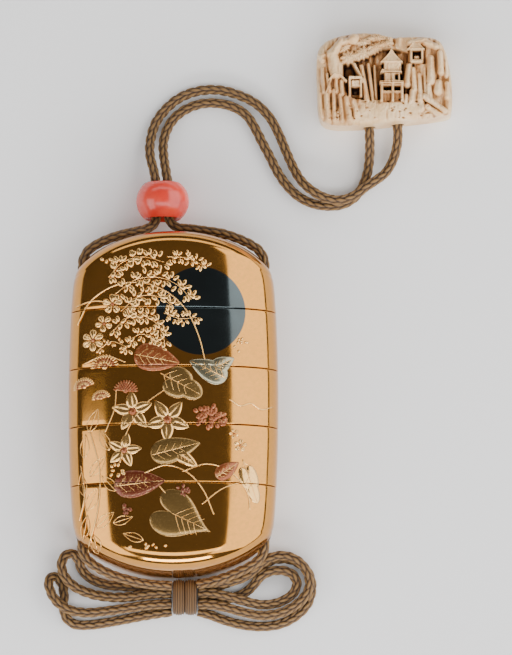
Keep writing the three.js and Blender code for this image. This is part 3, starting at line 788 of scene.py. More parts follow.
class Relief:
    """Raised forms on the front of the case, gathered as one mesh."""

    def __init__(self):
        self.points = []
        self.faces = []
        self.slots = []

    def shell(self, rings, tips, tone):
        start = len(self.points)
        for ring in rings:
            self.points += ring
        self.points += tips
        faces = ring_faces(len(rings), len(rings[0]))
        self.faces += [tuple(start + i for i in face) for face in faces]
        self.slots += [tone] * len(faces)

    def dome(self, outline, place, turn, height, tone, crease=0.0, fullness=3.0):
        """A raised form; returns a call that gives the surface over its own coordinates."""
        cos, sin = math.cos(turn), math.sin(turn)
        half = max(abs(b) for a, b in outline)
        order = sorted((math.atan2(b, a), math.hypot(a, b)) for a, b in outline)
        angles = [angle for angle, reach in order]
        reaches = [reach for angle, reach in order]

        def surface(a, b, extra=0.0, lift=None):
            if lift is None:
                edge = np.interp(math.atan2(b, a), angles, reaches, period=2 * math.pi)
                share = min(1.0, math.hypot(a, b) / edge)
                lift = height * (1 - share**fullness) ** 0.6
                lift *= 1 - crease * max(0.0, 1 - abs(b) / (0.35 * half))
            x, y = place[0] + a * cos - b * sin, place[1] + a * sin + b * cos
            return on_skin(x, y, lift + extra)

        rings = [[surface(a, b, lift=-0.25) for a, b in outline]]
        for share in (1.0, 0.97, 0.9, 0.78, 0.6, 0.4, 0.2, 0.07):
            lift = 0.12 * height if share == 1 else None
            rings.append([surface(a * share, b * share, lift=lift) for a, b in outline])
        self.shell(rings, [surface(0, 0, lift=-0.25), surface(0, 0)], tone)
        return surface

    def stroke(self, centres, radii, tone):
        """A thin round line through points, thinning as its radii say."""
        rings = []
        for i, centre in enumerate(centres):
            ahead = (centres[min(i + 1, len(centres) - 1)] - centres[max(i - 1, 0)]).normalized()
            side = ahead.cross(Vector((0, 0, 1))).normalized()
            lift = side.cross(ahead)
            radius = float(np.interp(i / (len(centres) - 1), np.linspace(0, 1, len(radii)), radii))
            ring = []
            for k in range(8):
                angle = math.pi * k / 4
                ring.append(centre + radius * (math.cos(angle) * side + math.sin(angle) * lift))
            rings.append(ring)
        self.shell(rings, [centres[0], centres[-1]], tone)

    def stem(self, route, radii=(0.2, 0.16), tone=BRIGHT, lift=0.08):
        flat = smooth_route([(x, y, 0) for x, y in route], 0.45)
        self.stroke([on_skin(p.x, p.y, lift) for p in flat], radii, tone)
        return flat

    def dot(self, x, y, size, height, tone, turn=0.0, stretch=1.0):
        outline = closed_curve(lambda t: (size * stretch * math.cos(t), size * math.sin(t)), 12)
        cos, sin = math.cos(turn), math.sin(turn)
        rings = []
        for share, lift in ((1, -0.2), (1, 0.2 * height), (0.86, 0.6 * height), (0.5, 0.92 * height)):
            ring = []
            for a, b in outline:
                u, v = a * share, b * share
                ring.append(on_skin(x + u * cos - v * sin, y + u * sin + v * cos, lift))
            rings.append(ring)
        self.shell(rings, [on_skin(x, y, -0.2), on_skin(x, y, height)], tone)

    def leaf(self, x, y, turn, length, width, shape, tone, vein=BRIGHT, height=0.42, veins=4):
        outline = shape(length, width)
        surface = self.dome(outline, (x, y), turn, height, tone, 0.35, 5.0)
        foot, tip = -0.48 * length, 0.46 * length
        if shape is heart:
            foot, tip = -0.12 * length, 0.52 * length
        spine = [surface(foot + (tip - foot) * i / 14, 0.0, 0.03) for i in range(15)]
        self.stroke(spine, (0.16, 0.07), vein)
        for k in range(veins):
            start = foot + (tip - foot) * (0.1 + 0.66 * k / veins)
            run = 0.3 * width * (1 - 0.5 * k / veins)
            for side in (-1, 1):
                line = []
                for i in range(9):
                    t = i / 8
                    line.append(surface(start + 0.7 * run * t + 0.2 * run * t * t, side * run * t, 0.02))
                self.stroke(line, (0.1, 0.05), vein)

    def line_leaf(self, x, y, turn, length, width, tone=BRIGHT):
        """A leaf drawn in thin raised lines only."""
        cos, sin = math.cos(turn), math.sin(turn)
        for side in (-1, 0, 1):
            line = []
            for i in range(13):
                t = i / 12
                a = (t - 0.5) * length
                b = side * width / 2 * math.sin(math.pi * t**0.8)
                line.append(on_skin(x + a * cos - b * sin, y + a * sin + b * cos, 0.03))
            self.stroke(line, (0.1, 0.12, 0.06), tone)

    def flower(self, x, y, radius, petals, turn, tone=BRIGHT, heart_tone=RUST, pointed=False):
        for k in range(petals):
            angle = turn + 2 * math.pi * k / petals
            reach = 0.58 * radius
            outline = ovate(0.84 * radius, radius * (2.1 if not pointed else 1.7) / petals**0.75)
            place = (x + reach * math.cos(angle), y + reach * math.sin(angle))
            self.dome(outline, place, angle + (0 if pointed else math.pi), 0.34, tone, 0.5, 3)
        self.dot(x, y, 0.17 * radius, 0.42, heart_tone)

    def head(self, x, y, turn, width, tone, rows=4):
        """A chrysanthemum seen from its side: a fan of short petals over a calyx."""
        for row in range(rows):
            reach = width * (0.1 + 0.42 * row / rows)
            count = 4 + 3 * row
            for k in range(count):
                angle = turn + math.pi * (k + 0.5) / count
                u, v = x + reach * math.cos(angle), y + reach * math.sin(angle) * 0.92
                self.dot(u, v, 0.27, 0.4 - 0.03 * row, tone if row % 2 else RUST, angle, 2.2)
        self.dot(x, y, 0.07 * width, 0.3, tone, turn, 1.3)

    def spray(self, route, leaflets, size, seed, tone=BRIGHT):
        """A drooping clover twig with small leaves in threes."""
        line = self.stem(route, (0.14, 0.08), tone)
        chance = random.Random(seed)
        for k in range(leaflets):
            place = line[round((k + 0.6) / leaflets * (len(line) - 1))]
            side = 1 if k % 2 else -1
            base = chance.uniform(-0.5, 0.5) + side * 1.25
            for part in (-0.75, 0, 0.75):
                angle = base + part + chance.uniform(-0.25, 0.25)
                reach = size * chance.uniform(0.75, 1.1)
                u, v = place.x + reach * math.cos(angle), place.y + reach * math.sin(angle)
                self.dot(u, v, 0.3 * size, 0.32, tone, angle, 1.75)


# The plants' own arrangement, in millimetres on the front.
SPRAYS = [
    ([(-16.6, 31.5), (-13.2, 35.2), (-8.0, 36.6), (-2.4, 35.2)], 13, 1.75),
    ([(-14.8, 27.2), (-9.4, 30.8), (-3.6, 31.2), (1.4, 29.0), (4.6, 25.4)], 14, 1.75),
    ([(-13.4, 22.6), (-9.0, 26.2), (-4.4, 26.4), (-0.2, 23.8)], 12, 1.7),
    ([(-15.4, 17.6), (-11.4, 21.0), (-7.2, 21.2), (-3.8, 18.6), (-2.2, 14.6)], 13, 1.7),
    ([(-12.6, 12.4), (-9.0, 16.4), (-5.6, 15.8), (-3.2, 12.8)], 9, 1.5),
    ([(-1.6, 36.6), (3.6, 36.2), (8.6, 33.8)], 8, 1.4),
    ([(-2.4, 22.0), (1.6, 20.6), (6.0, 20.8)], 7, 1.4),
    ([(-19.4, 12.6), (-15.8, 14.8), (-12.0, 13.4)], 5, 1.0),
]

STEMS = [
    [(-24.6, 19.6), (-21.4, 25.4), (-15.4, 29.2), (-8.6, 30.0), (-1.8, 27.6), (3.4, 22.6), (6.6, 15.8), (8.2, 9.4)],
    [(-24.9, 24.6), (-20.6, 25.6), (-15.2, 24.8)],
    [(-22.8, 9.4), (-17.6, 11.2), (-12.2, 9.4)],
    [(-17.4, -8.6), (-15.0, -2.4), (-14.6, 2.6)],
    [(-13.6, -16.6), (-12.0, -9.0), (-7.6, -2.0), (-2.4, 2.0)],
    [(-7.4, -19.4), (-1.8, -17.4), (3.6, -19.2), (7.6, -23.6), (10.4, -30.0)],
    [(2.4, -19.0), (9.0, -17.0), (15.2, -19.4), (19.0, -24.2), (19.6, -28.4)],
    [(7.4, -27.4), (12.4, -23.4), (17.6, -21.4)],
    [(14.4, -0.2), (17.2, -1.8), (19.8, -1.0), (22.4, -2.4), (25.4, -1.4)],
    [(-3.6, -22.6), (-0.8, -26.2), (0.4, -29.2)],
    [(-21.8, -38.6), (-19.2, -28.4), (-18.8, -18.2), (-21.2, -8.4)],
    [(-23.9, -31.0), (-22.6, -24.4), (-23.6, -16.8)],
]

LEAVES = [
    (-4.2, 10.2, -0.2, 11.8, 6.6, ovate, RUST),
    (9.0, 7.4, 2.7, 10.4, 5.6, ovate, SILVER),
    (12.8, 9.0, 0.5, 6.4, 4.0, ovate, SILVER),
    (1.9, 3.6, -0.5, 12.4, 8.6, lobed, OLIVE),
    (0.6, -13.2, 0.25, 13.0, 6.2, ovate, OLIVE),
    (3.4, -15.8, -0.6, 7.0, 3.2, ovate, BRIGHT),
    (13.9, -18.4, 0.6, 7.0, 3.8, ovate, RUST),
    (19.6, -21.0, -1.25, 12.0, 5.0, lobed, BRIGHT),
    (-8.6, -22.0, 0.1, 13.0, 6.6, ovate, DARK_RED),
    (1.4, -30.6, -0.45, 16.0, 12.4, heart, OLIVE),
]

FLOWERS = [
    (-10.4, -3.4, 5.4, 5, 0.4, True),
    (-1.4, -5.6, 5.8, 5, 0.9, True),
    (-12.6, -13.4, 4.6, 5, 0.1, True),
    (-15.6, 24.6, 2.6, 5, 0.3, False),
    (-20.6, 15.4, 2.8, 6, 0.5, False),
    (-17.8, 19.6, 2.2, 5, 0.8, False),
    (17.2, -12.0, 1.7, 5, 0.2, False),
    (15.6, -9.0, 1.3, 5, 0.7, False),
]

HEADS = [
    (-17.6, 8.2, 0.1, 7.6, BRIGHT),
    (-22.8, 3.4, 0.3, 5.4, BRIGHT),
    (-12.2, 1.8, -0.1, 6.4, RUST),
    (-18.4, 0.2, 0.2, 4.6, BRIGHT),
]

LINE_LEAVES = [
    (-20.4, -5.4, 1.2, 6.4, 2.6), (-17.6, -10.6, 2.0, 6.0, 2.4), (-22.6, -11.8, 1.5, 6.2, 2.2),
    (-19.2, -17.2, 0.9, 6.6, 2.6), (-23.2, -21.6, 1.7, 6.0, 2.0), (-16.4, -21.8, 2.3, 5.4, 2.4),
    (-20.6, -25.6, 1.1, 6.8, 2.8), (-22.4, -32.6, 1.4, 6.2, 2.2), (-17.4, -31.2, 0.7, 6.0, 2.6),
    (-19.8, -37.0, 1.9, 5.0, 2.4), (-12.8, -31.4, 0.3, 5.2, 2.2), (-10.2, -35.8, 2.8, 5.6, 2.2),
]

# Clusters of buds: middle, spread, how many, size, tone.
CLUSTERS = [
    (9.4, -4.8, 4.4, 2.9, 46, 0.6, RUST),
    (2.6, -24.2, 1.9, 1.5, 12, 0.45, DARK_RED),
    (-12.6, -28.8, 2.4, 1.2, 10, 0.42, DARK_RED),
    (-14.6, -18.6, 2.6, 1.6, 12, 0.42, BRIGHT),
    (16.8, 15.2, 2.2, 3.0, 9, 0.34, BRIGHT),
    (-16.4, 36.2, 2.6, 1.0, 8, 0.42, BRIGHT),
    (-7.4, -38.2, 6.0, 0.7, 10, 0.36, BRIGHT),
]


def autumn_plants():
    work = Relief()
    for k, (route, leaflets, size) in enumerate(SPRAYS):
        work.spray(route, leaflets, size, k)
    for route in STEMS:
        work.stem(route)
    for x, y, turn, length, width, shape, tone in LEAVES:
        work.leaf(x, y, turn, length, width, shape, tone)
    for x, y, radius, petals, turn, pointed in FLOWERS:
        work.flower(x, y, radius, petals, turn, pointed=pointed)
    for x, y, turn, width, tone in HEADS:
        work.head(x, y, turn, width, tone)
    for leaf in LINE_LEAVES:
        work.line_leaf(*leaf)
    chance = random.Random(4)
    for x, y, wide, high, count, size, tone in CLUSTERS:
        for _ in range(count):
            angle, reach = chance.uniform(0, 2 * math.pi), math.sqrt(chance.random())
            u, v = x + wide * reach * math.cos(angle), y + high * reach * math.sin(angle)
            work.dot(u, v, size, 0.42, tone, angle, 1.3)
    return work


def cut_between(obj, low, high):
    """Leaves only what lies between two planes across Y, in millimetres, closed again."""
    work = bmesh.new()
    work.from_mesh(obj.data)
    for place, side in ((low, 1), (high, -1)):
        if place is None:
            continue
        everything = work.verts[:] + work.edges[:] + work.faces[:]
        cut = bmesh.ops.bisect_plane(
            work, geom=everything, plane_co=(0, place * MM, 0), plane_no=(0, -side, 0), clear_outer=True
        )
        edges = [e for e in cut["geom_cut"] if isinstance(e, bmesh.types.BMEdge) and e.is_valid]
        bmesh.ops.holes_fill(work, edges=edges, sides=0)
    work.to_mesh(obj.data)
    work.free()


def raised_work():
    work = autumn_plants()
    names = ["lid", "case_1", "case_2", "case_3", "case_4"]
    edges = [None, *SEAMS, None]
    for name, above, below in zip(names, edges, edges[1:]):
        obj = mesh_object(name + "_plants", work.points, work.faces, RELIEF_TONES, work.slots)
        turn_outwards(obj)
        low = None if below is None else below + SEAM_GAP / 2
        high = None if above is None else above - SEAM_GAP / 2
        cut_between(obj, low, high)
        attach(obj, ROOT)


# ---------------------------------------------------------------- bead


def bead():
    low, high = (Vector(c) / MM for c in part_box("ojime_bead"))
    centre = (low + high) / 2
    radius = (high.x - low.x) / 2 * 0.998
    half_length = 6.35 * 0.998
    bore, mouth = 3.4, 4.6
    reach = math.acos(mouth / radius)
    profile = []
    for i in range(49):
        angle = -reach + 2 * reach * i / 48
        profile.append((radius * math.cos(angle), half_length * math.sin(angle)))
    lip = half_length * math.sin(reach)
    for i in range(1, 9):
        turn = math.pi / 2 * i / 8
        profile.append((mouth - (mouth - bore) * math.sin(turn), lip - 1.2 * (1 - math.cos(turn))))
    for i in range(8, 0, -1):
        turn = math.pi / 2 * i / 8
        profile.append((mouth - (mouth - bore) * math.sin(turn), -lip + 1.2 * (1 - math.cos(turn))))
    count = 96
    points = []
    for size, rise in profile:
        for k in range(count):
            angle = 2 * math.pi * k / count
            offset = Vector((size * math.cos(angle), rise, size * math.sin(angle)))
            points.append(centre + offset)
    faces = ring_faces(len(profile), count, closed_ends=False)
    last = (len(profile) - 1) * count
    for i in range(count):
        j = (i + 1) % count
        faces.append((last + i, last + j, j, i))
    obj = mesh_object("coral_bead", points, faces, [CORAL])
    turn_outwards(obj)
    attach(obj, ROOT)
    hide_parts("ojime_bead")
    return obj


# ---------------------------------------------------------------- toggle

TOGGLE_PLACE = Vector((54.4, 85.4, 0))
TOGGLE_TURN = math.radians(6)
CREST = 12.0
HIGHEST = 13.4
HOLLOW = 7.6
CARVE_PITCH = 0.1
CARVE_SPAN = (19.5, 14.5)
TOGGLE_CORNERS = [
    (-17, -11.5), (15.2, -11.5), (16.6, -10.4), (17.3, -3.3), (16.9, 3.5), (16, 7.6),
    (13.6, 9.8), (7.6, 10.4), (3, 10.6), (-1, 12.2), (-6.6, 12.9), (-13.2, 12.1),
    (-16.6, 9.6), (-17.4, 4), (-17.6, -1), (-18.2, -6.5),
]
TOGGLE_AROUND = 560
CORD_HOLES = (-5.1, 2.3)
HOLE_HEIGHT = 4.0

# Upright rocks: place of the foot, place of the head, half width, height.
ROCKS = [
    ((-16.7, -10.2), (-16.9, -4.0), 1.3, 11.9), ((-14.7, -11.2), (-15.0, -4.4), 1.2, 12.3),
    ((-12.9, -10.8), (-13.2, -3.2), 0.9, 12.0), ((-10.9, -11.0), (-11.5, -4.4), 0.8, 12.3),
    ((-9.0, -10.8), (-9.9, -5.2), 1.2, 12.5), ((-7.2, -9.6), (-8.0, -6.0), 1.3, 12.2),
    ((-15.6, -3.6), (-16.0, 2.4), 0.9, 11.8), ((-14.2, -3.4), (-14.9, 1.0), 0.8, 12.2),
    ((-12.4, -3.4), (-12.5, -0.4), 0.9, 12.1), ((-10.9, -4.2), (-11.2, -0.8), 0.8, 12.3),
    ((-4.4, -6.2), (-6.0, 3.2), 0.9, 11.9), ((-3.0, -5.8), (-4.2, 3.8), 0.7, 11.4),
    ((-2.2, -5.4), (-2.6, 3.4), 0.6, 10.9), ((5.9, -1.4), (6.4, 3.6), 1.2, 12.1),
    ((7.8, -3.0), (7.4, 2.4), 1.0, 12.3), ((9.3, -4.4), (8.9, 0.9), 1.1, 12.0),
    ((10.5, -3.6), (10.3, 2.6), 0.8, 11.8), ((12.0, -0.8), (11.9, 5.2), 1.3, 13.2),
    ((14.6, 1.6), (14.3, 6.6), 1.15, 12.9), ((16.0, 0.6), (15.9, 4.4), 0.8, 12.2),
    ((7.0, -7.0), (7.3, -3.4), 1.3, 12.3), ((9.4, -7.8), (9.2, -4.6), 1.3, 12.5),
    ((5.4, -6.6), (5.6, -4.6), 1.1, 11.9), ((11.5, -5.2), (11.4, -1.8), 1.2, 12.6),
    ((13.8, -3.4), (13.9, -1.2), 1.5, 12.9), ((16.2, -5.0), (16.0, -1.4), 1.1, 12.3),
]

# Ridges: start, end, half width at both, height.
RIDGES = [
    ((-12.5, 1.4), (-13.6, 6.4), 1.8, 1.4, 12.9), ((-13.6, 6.2), (-11.2, 9.6), 1.4, 1.0, 13.0),
    ((-11.4, 9.0), (-8.6, 10.0), 1.0, 1.0, 12.8), ((-8.2, 10.2), (-7.9, 10.4), 1.4, 1.4, 13.3),
    ((-16.0, 4.6), (-17.0, 6.2), 0.8, 0.7, 12.2), ((-14.6, -0.8), (-12.9, 1.0), 0.35, 0.4, 12.9),
    ((-12.9, 1.0), (-11.4, 0.6), 0.4, 0.4, 13.0), ((-11.4, 0.6), (-9.9, -0.8), 0.4, 0.3, 12.8),
    ((-13.7, 0.2), (-15.2, -4.2), 0.3, 0.25, 12.7), ((-7.8, 3.6), (-5.5, -1.0), 0.45, 0.4, 12.6),
    ((10.4, -4.9), (15.6, -8.6), 1.0, 0.7, 12.8), ((11.0, -7.4), (14.6, -9.8), 0.9, 0.8, 12.2),
    ((6.6, 9.2), (10.4, 9.9), 0.9, 1.0, 12.3), ((10.4, 9.4), (13.4, 8.2), 1.1, 0.9, 12.4),
]

# The pine's pads of needles: middle, half sizes, turn, height.
PADS = [
    ((-9.2, 5.4), (2.2, 1.7), 0.3, 12.6), ((-5.6, 6.6), (3.2, 1.5), 0.42, 12.8),
    ((-2.2, 8.0), (2.6, 1.2), 0.5, 12.8), ((0.4, 9.0), (2.0, 1.0), 0.3, 13.0),
    ((-10.2, 8.0), (1.8, 1.0), 0.7, 12.5), ((-5.4, 9.3), (2.4, 1.1), 0.2, 12.5),
    ((-1.8, 10.4), (2.9, 1.0), 0.0, 12.7), ((-2.0, 11.4), (1.8, 0.6), 0.0, 12.4),
    ((-16.4, 5.8), (1.3, 0.9), 0.6, 12.4), ((1.2, 10.2), (1.0, 0.8), 0.2, 12.6),
]


class Carving:
    """A landscape cut into the toggle's face, kept as heights over a grid."""

    def __init__(self):
        us = np.arange(-CARVE_SPAN[0], CARVE_SPAN[0], CARVE_PITCH)
        vs = np.arange(-CARVE_SPAN[1], CARVE_SPAN[1], CARVE_PITCH)
        self.u, self.v = np.meshgrid(us, vs, indexing="ij")
        self.height = np.full(self.u.shape, CREST - 1.0)

    def noise(self, cell_u, cell_v, seed):
        """Smooth noise from 0 to 1 with cells of this size."""
        made = np.random.default_rng(seed).random((128, 128))
        x = self.u / cell_u + 60
        y = self.v / cell_v + 60
        i, j = x.astype(int), y.astype(int)
        a, b = (x - i) ** 2 * (3 - 2 * (x - i)), (y - j) ** 2 * (3 - 2 * (y - j))
        low = made[i, j] * (1 - a) + made[i + 1, j] * a
        high = made[i, j + 1] * (1 - a) + made[i + 1, j + 1] * a
        return low * (1 - b) + high * b

    def paint(self, mask, level):
        self.height += mask * (level - self.height)

    def box(self, left, right, low, high, level, soft=0.22):
        aside = np.abs(self.u - (left + right) / 2) - (right - left) / 2
        upright = np.abs(self.v - (low + high) / 2) - (high - low) / 2
        self.paint(np.clip(0.5 - np.maximum(aside, upright) / soft, 0, 1), level)

    def ridge(self, start, end, first, last, top, drop=1.7):
        """A rounded bar between two points, with its half width at each."""
        du, dv = end[0] - start[0], end[1] - start[1]
        share = ((self.u - start[0]) * du + (self.v - start[1]) * dv) / max(1e-6, du * du + dv * dv)
        share = np.clip(share, 0, 1)
        gap = np.hypot(self.u - start[0] - share * du, self.v - start[1] - share * dv)
        width = first + (last - first) * share
        self.height = np.maximum(self.height, np.where(gap < width, top - drop * (gap / width) ** 2, 0))

    def pad(self, middle, sizes, turn, top):
        """A pad of pine needles, with rows of fine strokes across it."""
        u, v = self.u - middle[0], self.v - middle[1]
        along = u * math.cos(turn) + v * math.sin(turn)
        across = v * math.cos(turn) - u * math.sin(turn)
        reach = np.hypot(along / sizes[0], across / sizes[1])
        reach += 0.12 * np.sin(9 * np.arctan2(across, along) + 3 * middle[0])
        fan = np.abs(((2.1 * along + 1.3 * np.abs(across)) % 1.0) - 0.5)
        shape = top - 1.3 * reach**2 - 1.1 * fan
        self.height = np.maximum(self.height, np.where(reach < 1, shape, 0))

    def roof(self, middle, half, foot, rise, peak, top):
        """A roof that narrows upwards in a hollow curve, with raised hips and eaves."""
        share = np.clip((self.v - foot) / rise, 0, 1)
        width = half * (peak + (1 - peak) * (1 - share) ** 1.5)
        aside = np.abs(self.u - middle)
        inside = (aside < width) & (self.v > foot) & (self.v < foot + rise)
        hips = np.clip(1 - np.abs(aside - width + 0.22) / 0.28, 0, 1)
        eaves = np.clip(1 - np.abs(self.v - foot - 0.2) / 0.32, 0, 1)
        shape = top - 0.75 + 0.7 * np.maximum(hips, eaves)
        self.paint(inside.astype(float), shape)

    def cavity(self, reach):
        """How far each place lies below its surroundings, in millimetres."""
        around = self.height.copy()
        cells = round(reach / CARVE_PITCH)
        for axis in (0, 1):
            total = sum(np.roll(around, step, axis) for step in range(-cells, cells + 1))
            around = total / (2 * cells + 1)
        return around - self.height


def hollow_for_the_buildings(art):
    reach = (np.abs(art.u + 1.4) / 9.0) ** 4 + (np.abs(art.v - 1.0) / 6.6) ** 4
    art.paint(np.clip(6 * (1.1 - reach), 0, 1), HOLLOW + 1.6 * art.noise(0.9, 3, 5))
    art.box(-10.6, -7.4, 0.5, 3.6, HOLLOW - 1.2, 0.6)


def main_pavilion(art):
    art.box(-0.7, 4.6, -5.6, 4.0, HOLLOW)
    art.box(-0.2, 4.3, 1.6, 4.4, 12.4)
    art.roof(1.7, 2.9, 1.3, 0.9, 0.86, 12.9)
    art.box(-0.1, 4.0, -0.9, 1.3, 12.0)
    for left in (0.1, 1.9, 2.4):
        art.box(left, left + 0.35, -0.9, 1.3, 12.3)
    art.box(2.75, 3.45, -0.5, 0.9, HOLLOW)
    art.roof(1.8, 3.1, 3.9, 3.9, 0.03, 13.4)
    art.box(-1.3, 4.9, -1.6, -0.8, 13.0)
    art.box(-1.1, 4.7, -1.25, -1.1, 12.3, 0.12)
    art.box(-0.6, 4.4, -2.1, -1.6, 12.2)
    for middle in (-0.7, 2.1, 4.5):
        art.box(middle - 0.38, middle + 0.38, -6.2, -1.5, 12.7)
    art.box(-0.4, 4.2, -3.9, -3.3, 12.1)
    art.box(-0.4, 1.8, -6.4, -3.7, 10.4)
    art.box(2.4, 4.2, -6.4, -3.7, 10.4)


def small_pavilion(art):
    art.box(6.0, 10.6, 3.8, 8.4, 9.8)
    art.box(6.5, 10.0, 4.2, 7.6, 12.2)
    art.box(7.2, 9.4, 4.9, 7.1, HOLLOW + 0.6)
    art.box(7.6, 9.0, 4.9, 5.9, 11.4)
    art.box(6.8, 9.8, 3.9, 4.5, 12.7)
    art.roof(8.1, 2.5, 7.3, 1.7, 0.45, 13.0)


def gate(art):
    art.box(-9.6, -5.6, -4.6, 0.4, HOLLOW + 0.8)
    art.box(-9.3, -5.7, -0.4, 0.4, 12.8)
    art.box(-8.6, -6.4, -2.2, -0.6, 11.9)
    art.box(-8.4, -6.5, -3.9, -2.4, HOLLOW - 1)
    for middle in (-9.0, -6.1):
        art.box(middle - 0.32, middle + 0.32, -4.9, -0.2, 12.5)


def ground(art):
    """The smooth ground along the foot, with a few small pits."""
    edge = -6.4 + 0.8 * art.noise(1.3, 50, 9)
    level = 11.9 - 0.012 * (art.u - 1.5) ** 2 - 0.05 * (art.v + 7.5) ** 2
    reach = np.clip((edge - art.v) / 0.7, 0, 1) * np.clip((art.u + 7.6) / 1.2, 0, 1)
    art.paint(reach * np.clip((10.4 - art.u) / 2, 0, 1), level)
    pits = random.Random(7)
    for _ in range(46):
        u, v = pits.uniform(-16, 15), pits.uniform(-10.6, -5.5)
        size = pits.uniform(0.12, 0.3)
        gap = np.hypot((art.u - u) / 1.4, art.v - v)
        art.height -= 0.7 * np.clip(1.3 - gap / size, 0, 1)


def carve_landscape():
    art = Carving()
    art.height += 1.6 * (art.noise(0.8, 3.2, 1) - 0.6)
    hollow_for_the_buildings(art)
    for foot, head, half, top in ROCKS:
        art.ridge(foot, head, half, 0.72 * half, top, 2.2)
    main_pavilion(art)
    gate(art)
    for ridge in RIDGES:
        art.ridge(*ridge)
    small_pavilion(art)
    for pad in PADS:
        art.pad(*pad)
    ground(art)
    cut = art.noise(0.55, 2.4, 3)
    art.height -= 0.5 * np.clip(cut - 0.62, 0, 1) / 0.38
    art.height += 0.16 * (art.noise(0.34, 0.5, 4) - 0.5)
    art.height = np.clip(art.height, HOLLOW - 1.4, HIGHEST)
    return art


def rounded_outline(corners, count, passes=9):
    """Even points along a closed outline whose corners are worn round."""
    fine = []
    for a, b in zip(corners, corners[1:] + corners[:1]):
        fine += [Vector(a).lerp(Vector(b), i / 24) for i in range(24)]
    line = np.array([tuple(p) for p in fine])
    for _ in range(passes):
        line = (np.roll(line, 3, 0) + line + np.roll(line, -3, 0)) / 3
    closed = np.vstack([line, line[:1]])
    along = np.concatenate([[0], np.cumsum(np.hypot(*np.diff(closed, axis=0).T))])
    places = np.linspace(0, along[-1], count, endpoint=False)
    return np.stack([np.interp(places, along, closed[:, k]) for k in (0, 1)], 1)


def toggle_ring(outline, share, lift):
    """One ring of the toggle's skin, drawn in to a share of the outline."""
    middle = np.array([0.4, 0.6])
    points = middle + (outline - middle) * share
    cos, sin = math.cos(TOGGLE_TURN), math.sin(TOGGLE_TURN)
    u = points[:, 0] * cos - points[:, 1] * sin
    v = points[:, 0] * sin + points[:, 1] * cos
    return np.stack([u, v, np.broadcast_to(lift, u.shape)], 1)


def cord_hole(x):
    """A bar the size of one cord hole, in the toggle's foot."""
    bar = bar_along_y(CHANNEL_RADIUS, -17.5, -5.5, x)
    turn = Matrix.Rotation(TOGGLE_TURN, 4, "Z")
    drop = Matrix.Translation((0, 0, (HOLE_HEIGHT - MID_Z) * MM))
    bar.data.transform(Matrix.Translation(TOGGLE_PLACE * MM) @ turn @ drop)
    return bar


def toggle():
    art = carve_landscape()
    hollow = art.cavity(0.8)
    wide = art.cavity(2.0)

    def at(field, ring):
        i = np.clip((ring[:, 0] + CARVE_SPAN[0]) / CARVE_PITCH, 0, field.shape[0] - 2)
        j = np.clip((ring[:, 1] + CARVE_SPAN[1]) / CARVE_PITCH, 0, field.shape[1] - 2)
        a, b = i.astype(int), j.astype(int)
        s, t = i - a, j - b
        low = field[a, b] * (1 - s) + field[a + 1, b] * s
        high = field[a, b + 1] * (1 - s) + field[a + 1, b + 1] * s
        return low * (1 - t) + high * t

    outline = rounded_outline(TOGGLE_CORNERS, TOGGLE_AROUND)
    # The second list holds how far each point lies below its surroundings, near and wide; the ivory's colour
    # darkens with it, part stain and part painted shade in the hollows.
    rings, stain_and_shade = [], []
    for share in np.linspace(0.012, 1, 118):
        edge = np.clip((share - 0.93) / 0.07, 0, 1)
        ring = toggle_ring(outline, 0.995 * share, 0)
        ring[:, 2] = at(art.height, ring) - 1.3 * edge**2
        rings.append(ring)
        stain_and_shade.append(at(hollow, ring) + 0.5 * np.clip(at(wide, ring), 0, 3))
    rim = rings[-1]
    streaks = at(art.noise(0.9, 0.9, 11), rim)
    for step in range(1, 27):
        fall = step / 26
        lift = rim[:, 2] * (1 - fall) + 0.5 * fall
        carved = np.clip((lift - 3.5) / 3, 0, 1) * (rim[:, 1] > -9)
        wave = 0.022 * streaks * carved * np.clip(4 * fall, 0, 1)
        share = 0.995 - wave - 0.012 * np.clip((fall - 0.9) / 0.1, 0, 1) ** 2
        ring = toggle_ring(outline, share[:, None], 0)
        ring[:, 2] = lift
        rings.append(ring)
        # The carved streaks on the side darken in their dips like the hollows, with stain and painted shade.
        stain_and_shade.append(30 * wave)
    for share in (0.97, 0.9, 0.5):
        rings.append(toggle_ring(outline, share, 0.0 if share < 0.95 else 0.1))
        stain_and_shade.append(np.zeros(TOGGLE_AROUND))
    middle = toggle_ring(outline[:1], 0, 0)[0]
    tips = [(*middle[:2], at(art.height, middle[None])[0]), (*middle[:2], 0)]
    offset = np.array(TOGGLE_PLACE)
    points = np.vstack([*rings, np.array(tips)]) + offset
    obj = mesh_object("carved_toggle", points, ring_faces(len(rings), TOGGLE_AROUND), [IVORY])
    turn_outwards(obj)
    attribute = obj.data.attributes.new("cavity", "FLOAT", "POINT")
    attribute.data.foreach_set("value", np.concatenate([*stain_and_shade, [0, 0]]))
    for x in CORD_HOLES:
        boolean(obj, cord_hole(x), "DIFFERENCE")
    sharpen(obj, 60)
    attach(obj, ROOT)
    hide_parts("netsuke")
    return obj


# ---------------------------------------------------------------- studio

VIEW_HEIGHT = 168.8  # what the picture's height covers at the object, in millimetres
VIEW_CENTRE = Vector((21.2, 21.0, 6.0))
ELEVATION = math.radians(81.1)
LENS = 600


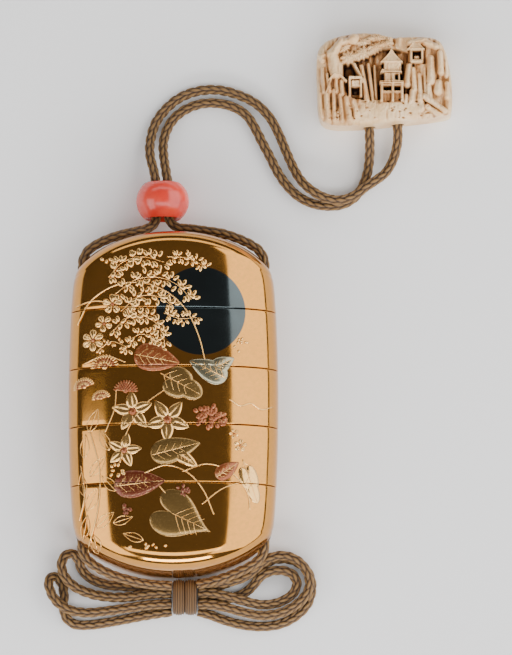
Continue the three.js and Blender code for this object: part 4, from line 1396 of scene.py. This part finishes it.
def add_camera():
    data = bpy.data.cameras.new("camera")
    data.lens = LENS
    data.sensor_width = 36
    distance = VIEW_HEIGHT * LENS / 36
    away = Vector((0, -math.cos(ELEVATION), math.sin(ELEVATION)))
    obj = bpy.data.objects.new("camera", data)
    obj.location = (VIEW_CENTRE + away * distance) * MM
    obj.rotation_euler = (math.pi / 2 - ELEVATION, 0, 0)
    data.clip_end = 20
    bpy.context.scene.collection.objects.link(obj)
    bpy.context.scene.camera = obj


def add_floor():
    made = Nodes("floor")
    made.set(Base_Color=(*srgb(238, 239, 241), 1), Roughness=0.85)
    mesh = bpy.data.meshes.new("floor")
    size = 3.0
    mesh.from_pydata(
        [(-size, -size, 0), (size, -size, 0), (size, size, 0), (-size, size, 0)], [], [(0, 1, 2, 3)]
    )
    mesh.materials.append(made.material)
    obj = bpy.data.objects.new("floor", mesh)
    bpy.context.scene.collection.objects.link(obj)


def area_light(name, place, target, size, power, colour=(1, 1, 1)):
    data = bpy.data.lights.new(name, "AREA")
    data.shape = "RECTANGLE"
    data.size, data.size_y = size
    data.energy = power
    data.color = colour
    obj = bpy.data.objects.new(name, data)
    obj.location = place
    direction = Vector(target) - Vector(place)
    obj.rotation_euler = direction.to_track_quat("-Z", "Y").to_euler()
    bpy.context.scene.collection.objects.link(obj)


def add_lights():
    world = bpy.data.worlds.new("world")
    bpy.context.scene.world = world
    world.use_nodes = True
    world.node_tree.nodes["Background"].inputs["Color"].default_value = (0.7, 0.64, 0.6, 1)
    world.node_tree.nodes["Background"].inputs["Strength"].default_value = 0.12
    area_light("right_box", (0.62, 0.0, 0.42), (0, 0, 0.0), (1.4, 0.8), 11, (1.0, 0.98, 0.95))
    area_light("left_box", (-0.5, -0.385, 0.35), (0, -0.385, 0.0), (0.92, 0.4), 4, (1.0, 0.98, 0.96))
    area_light("front_box", (0.0, -0.34, 0.85), (0, 0, 0.0), (1.0, 0.28), 3.4)
    area_light("back_box", (0.0, 0.9, 0.5), (0, 0, 0.0), (1.6, 0.25), 3)
    area_light("far_front", (0.1, -1.9, 0.9), (0, 0, 0.0), (1.6, 0.6), 44)


case_sections()
raised_work()
add_cords(bead(), toggle(), bow_knot())
add_camera()
add_floor()
add_lights()
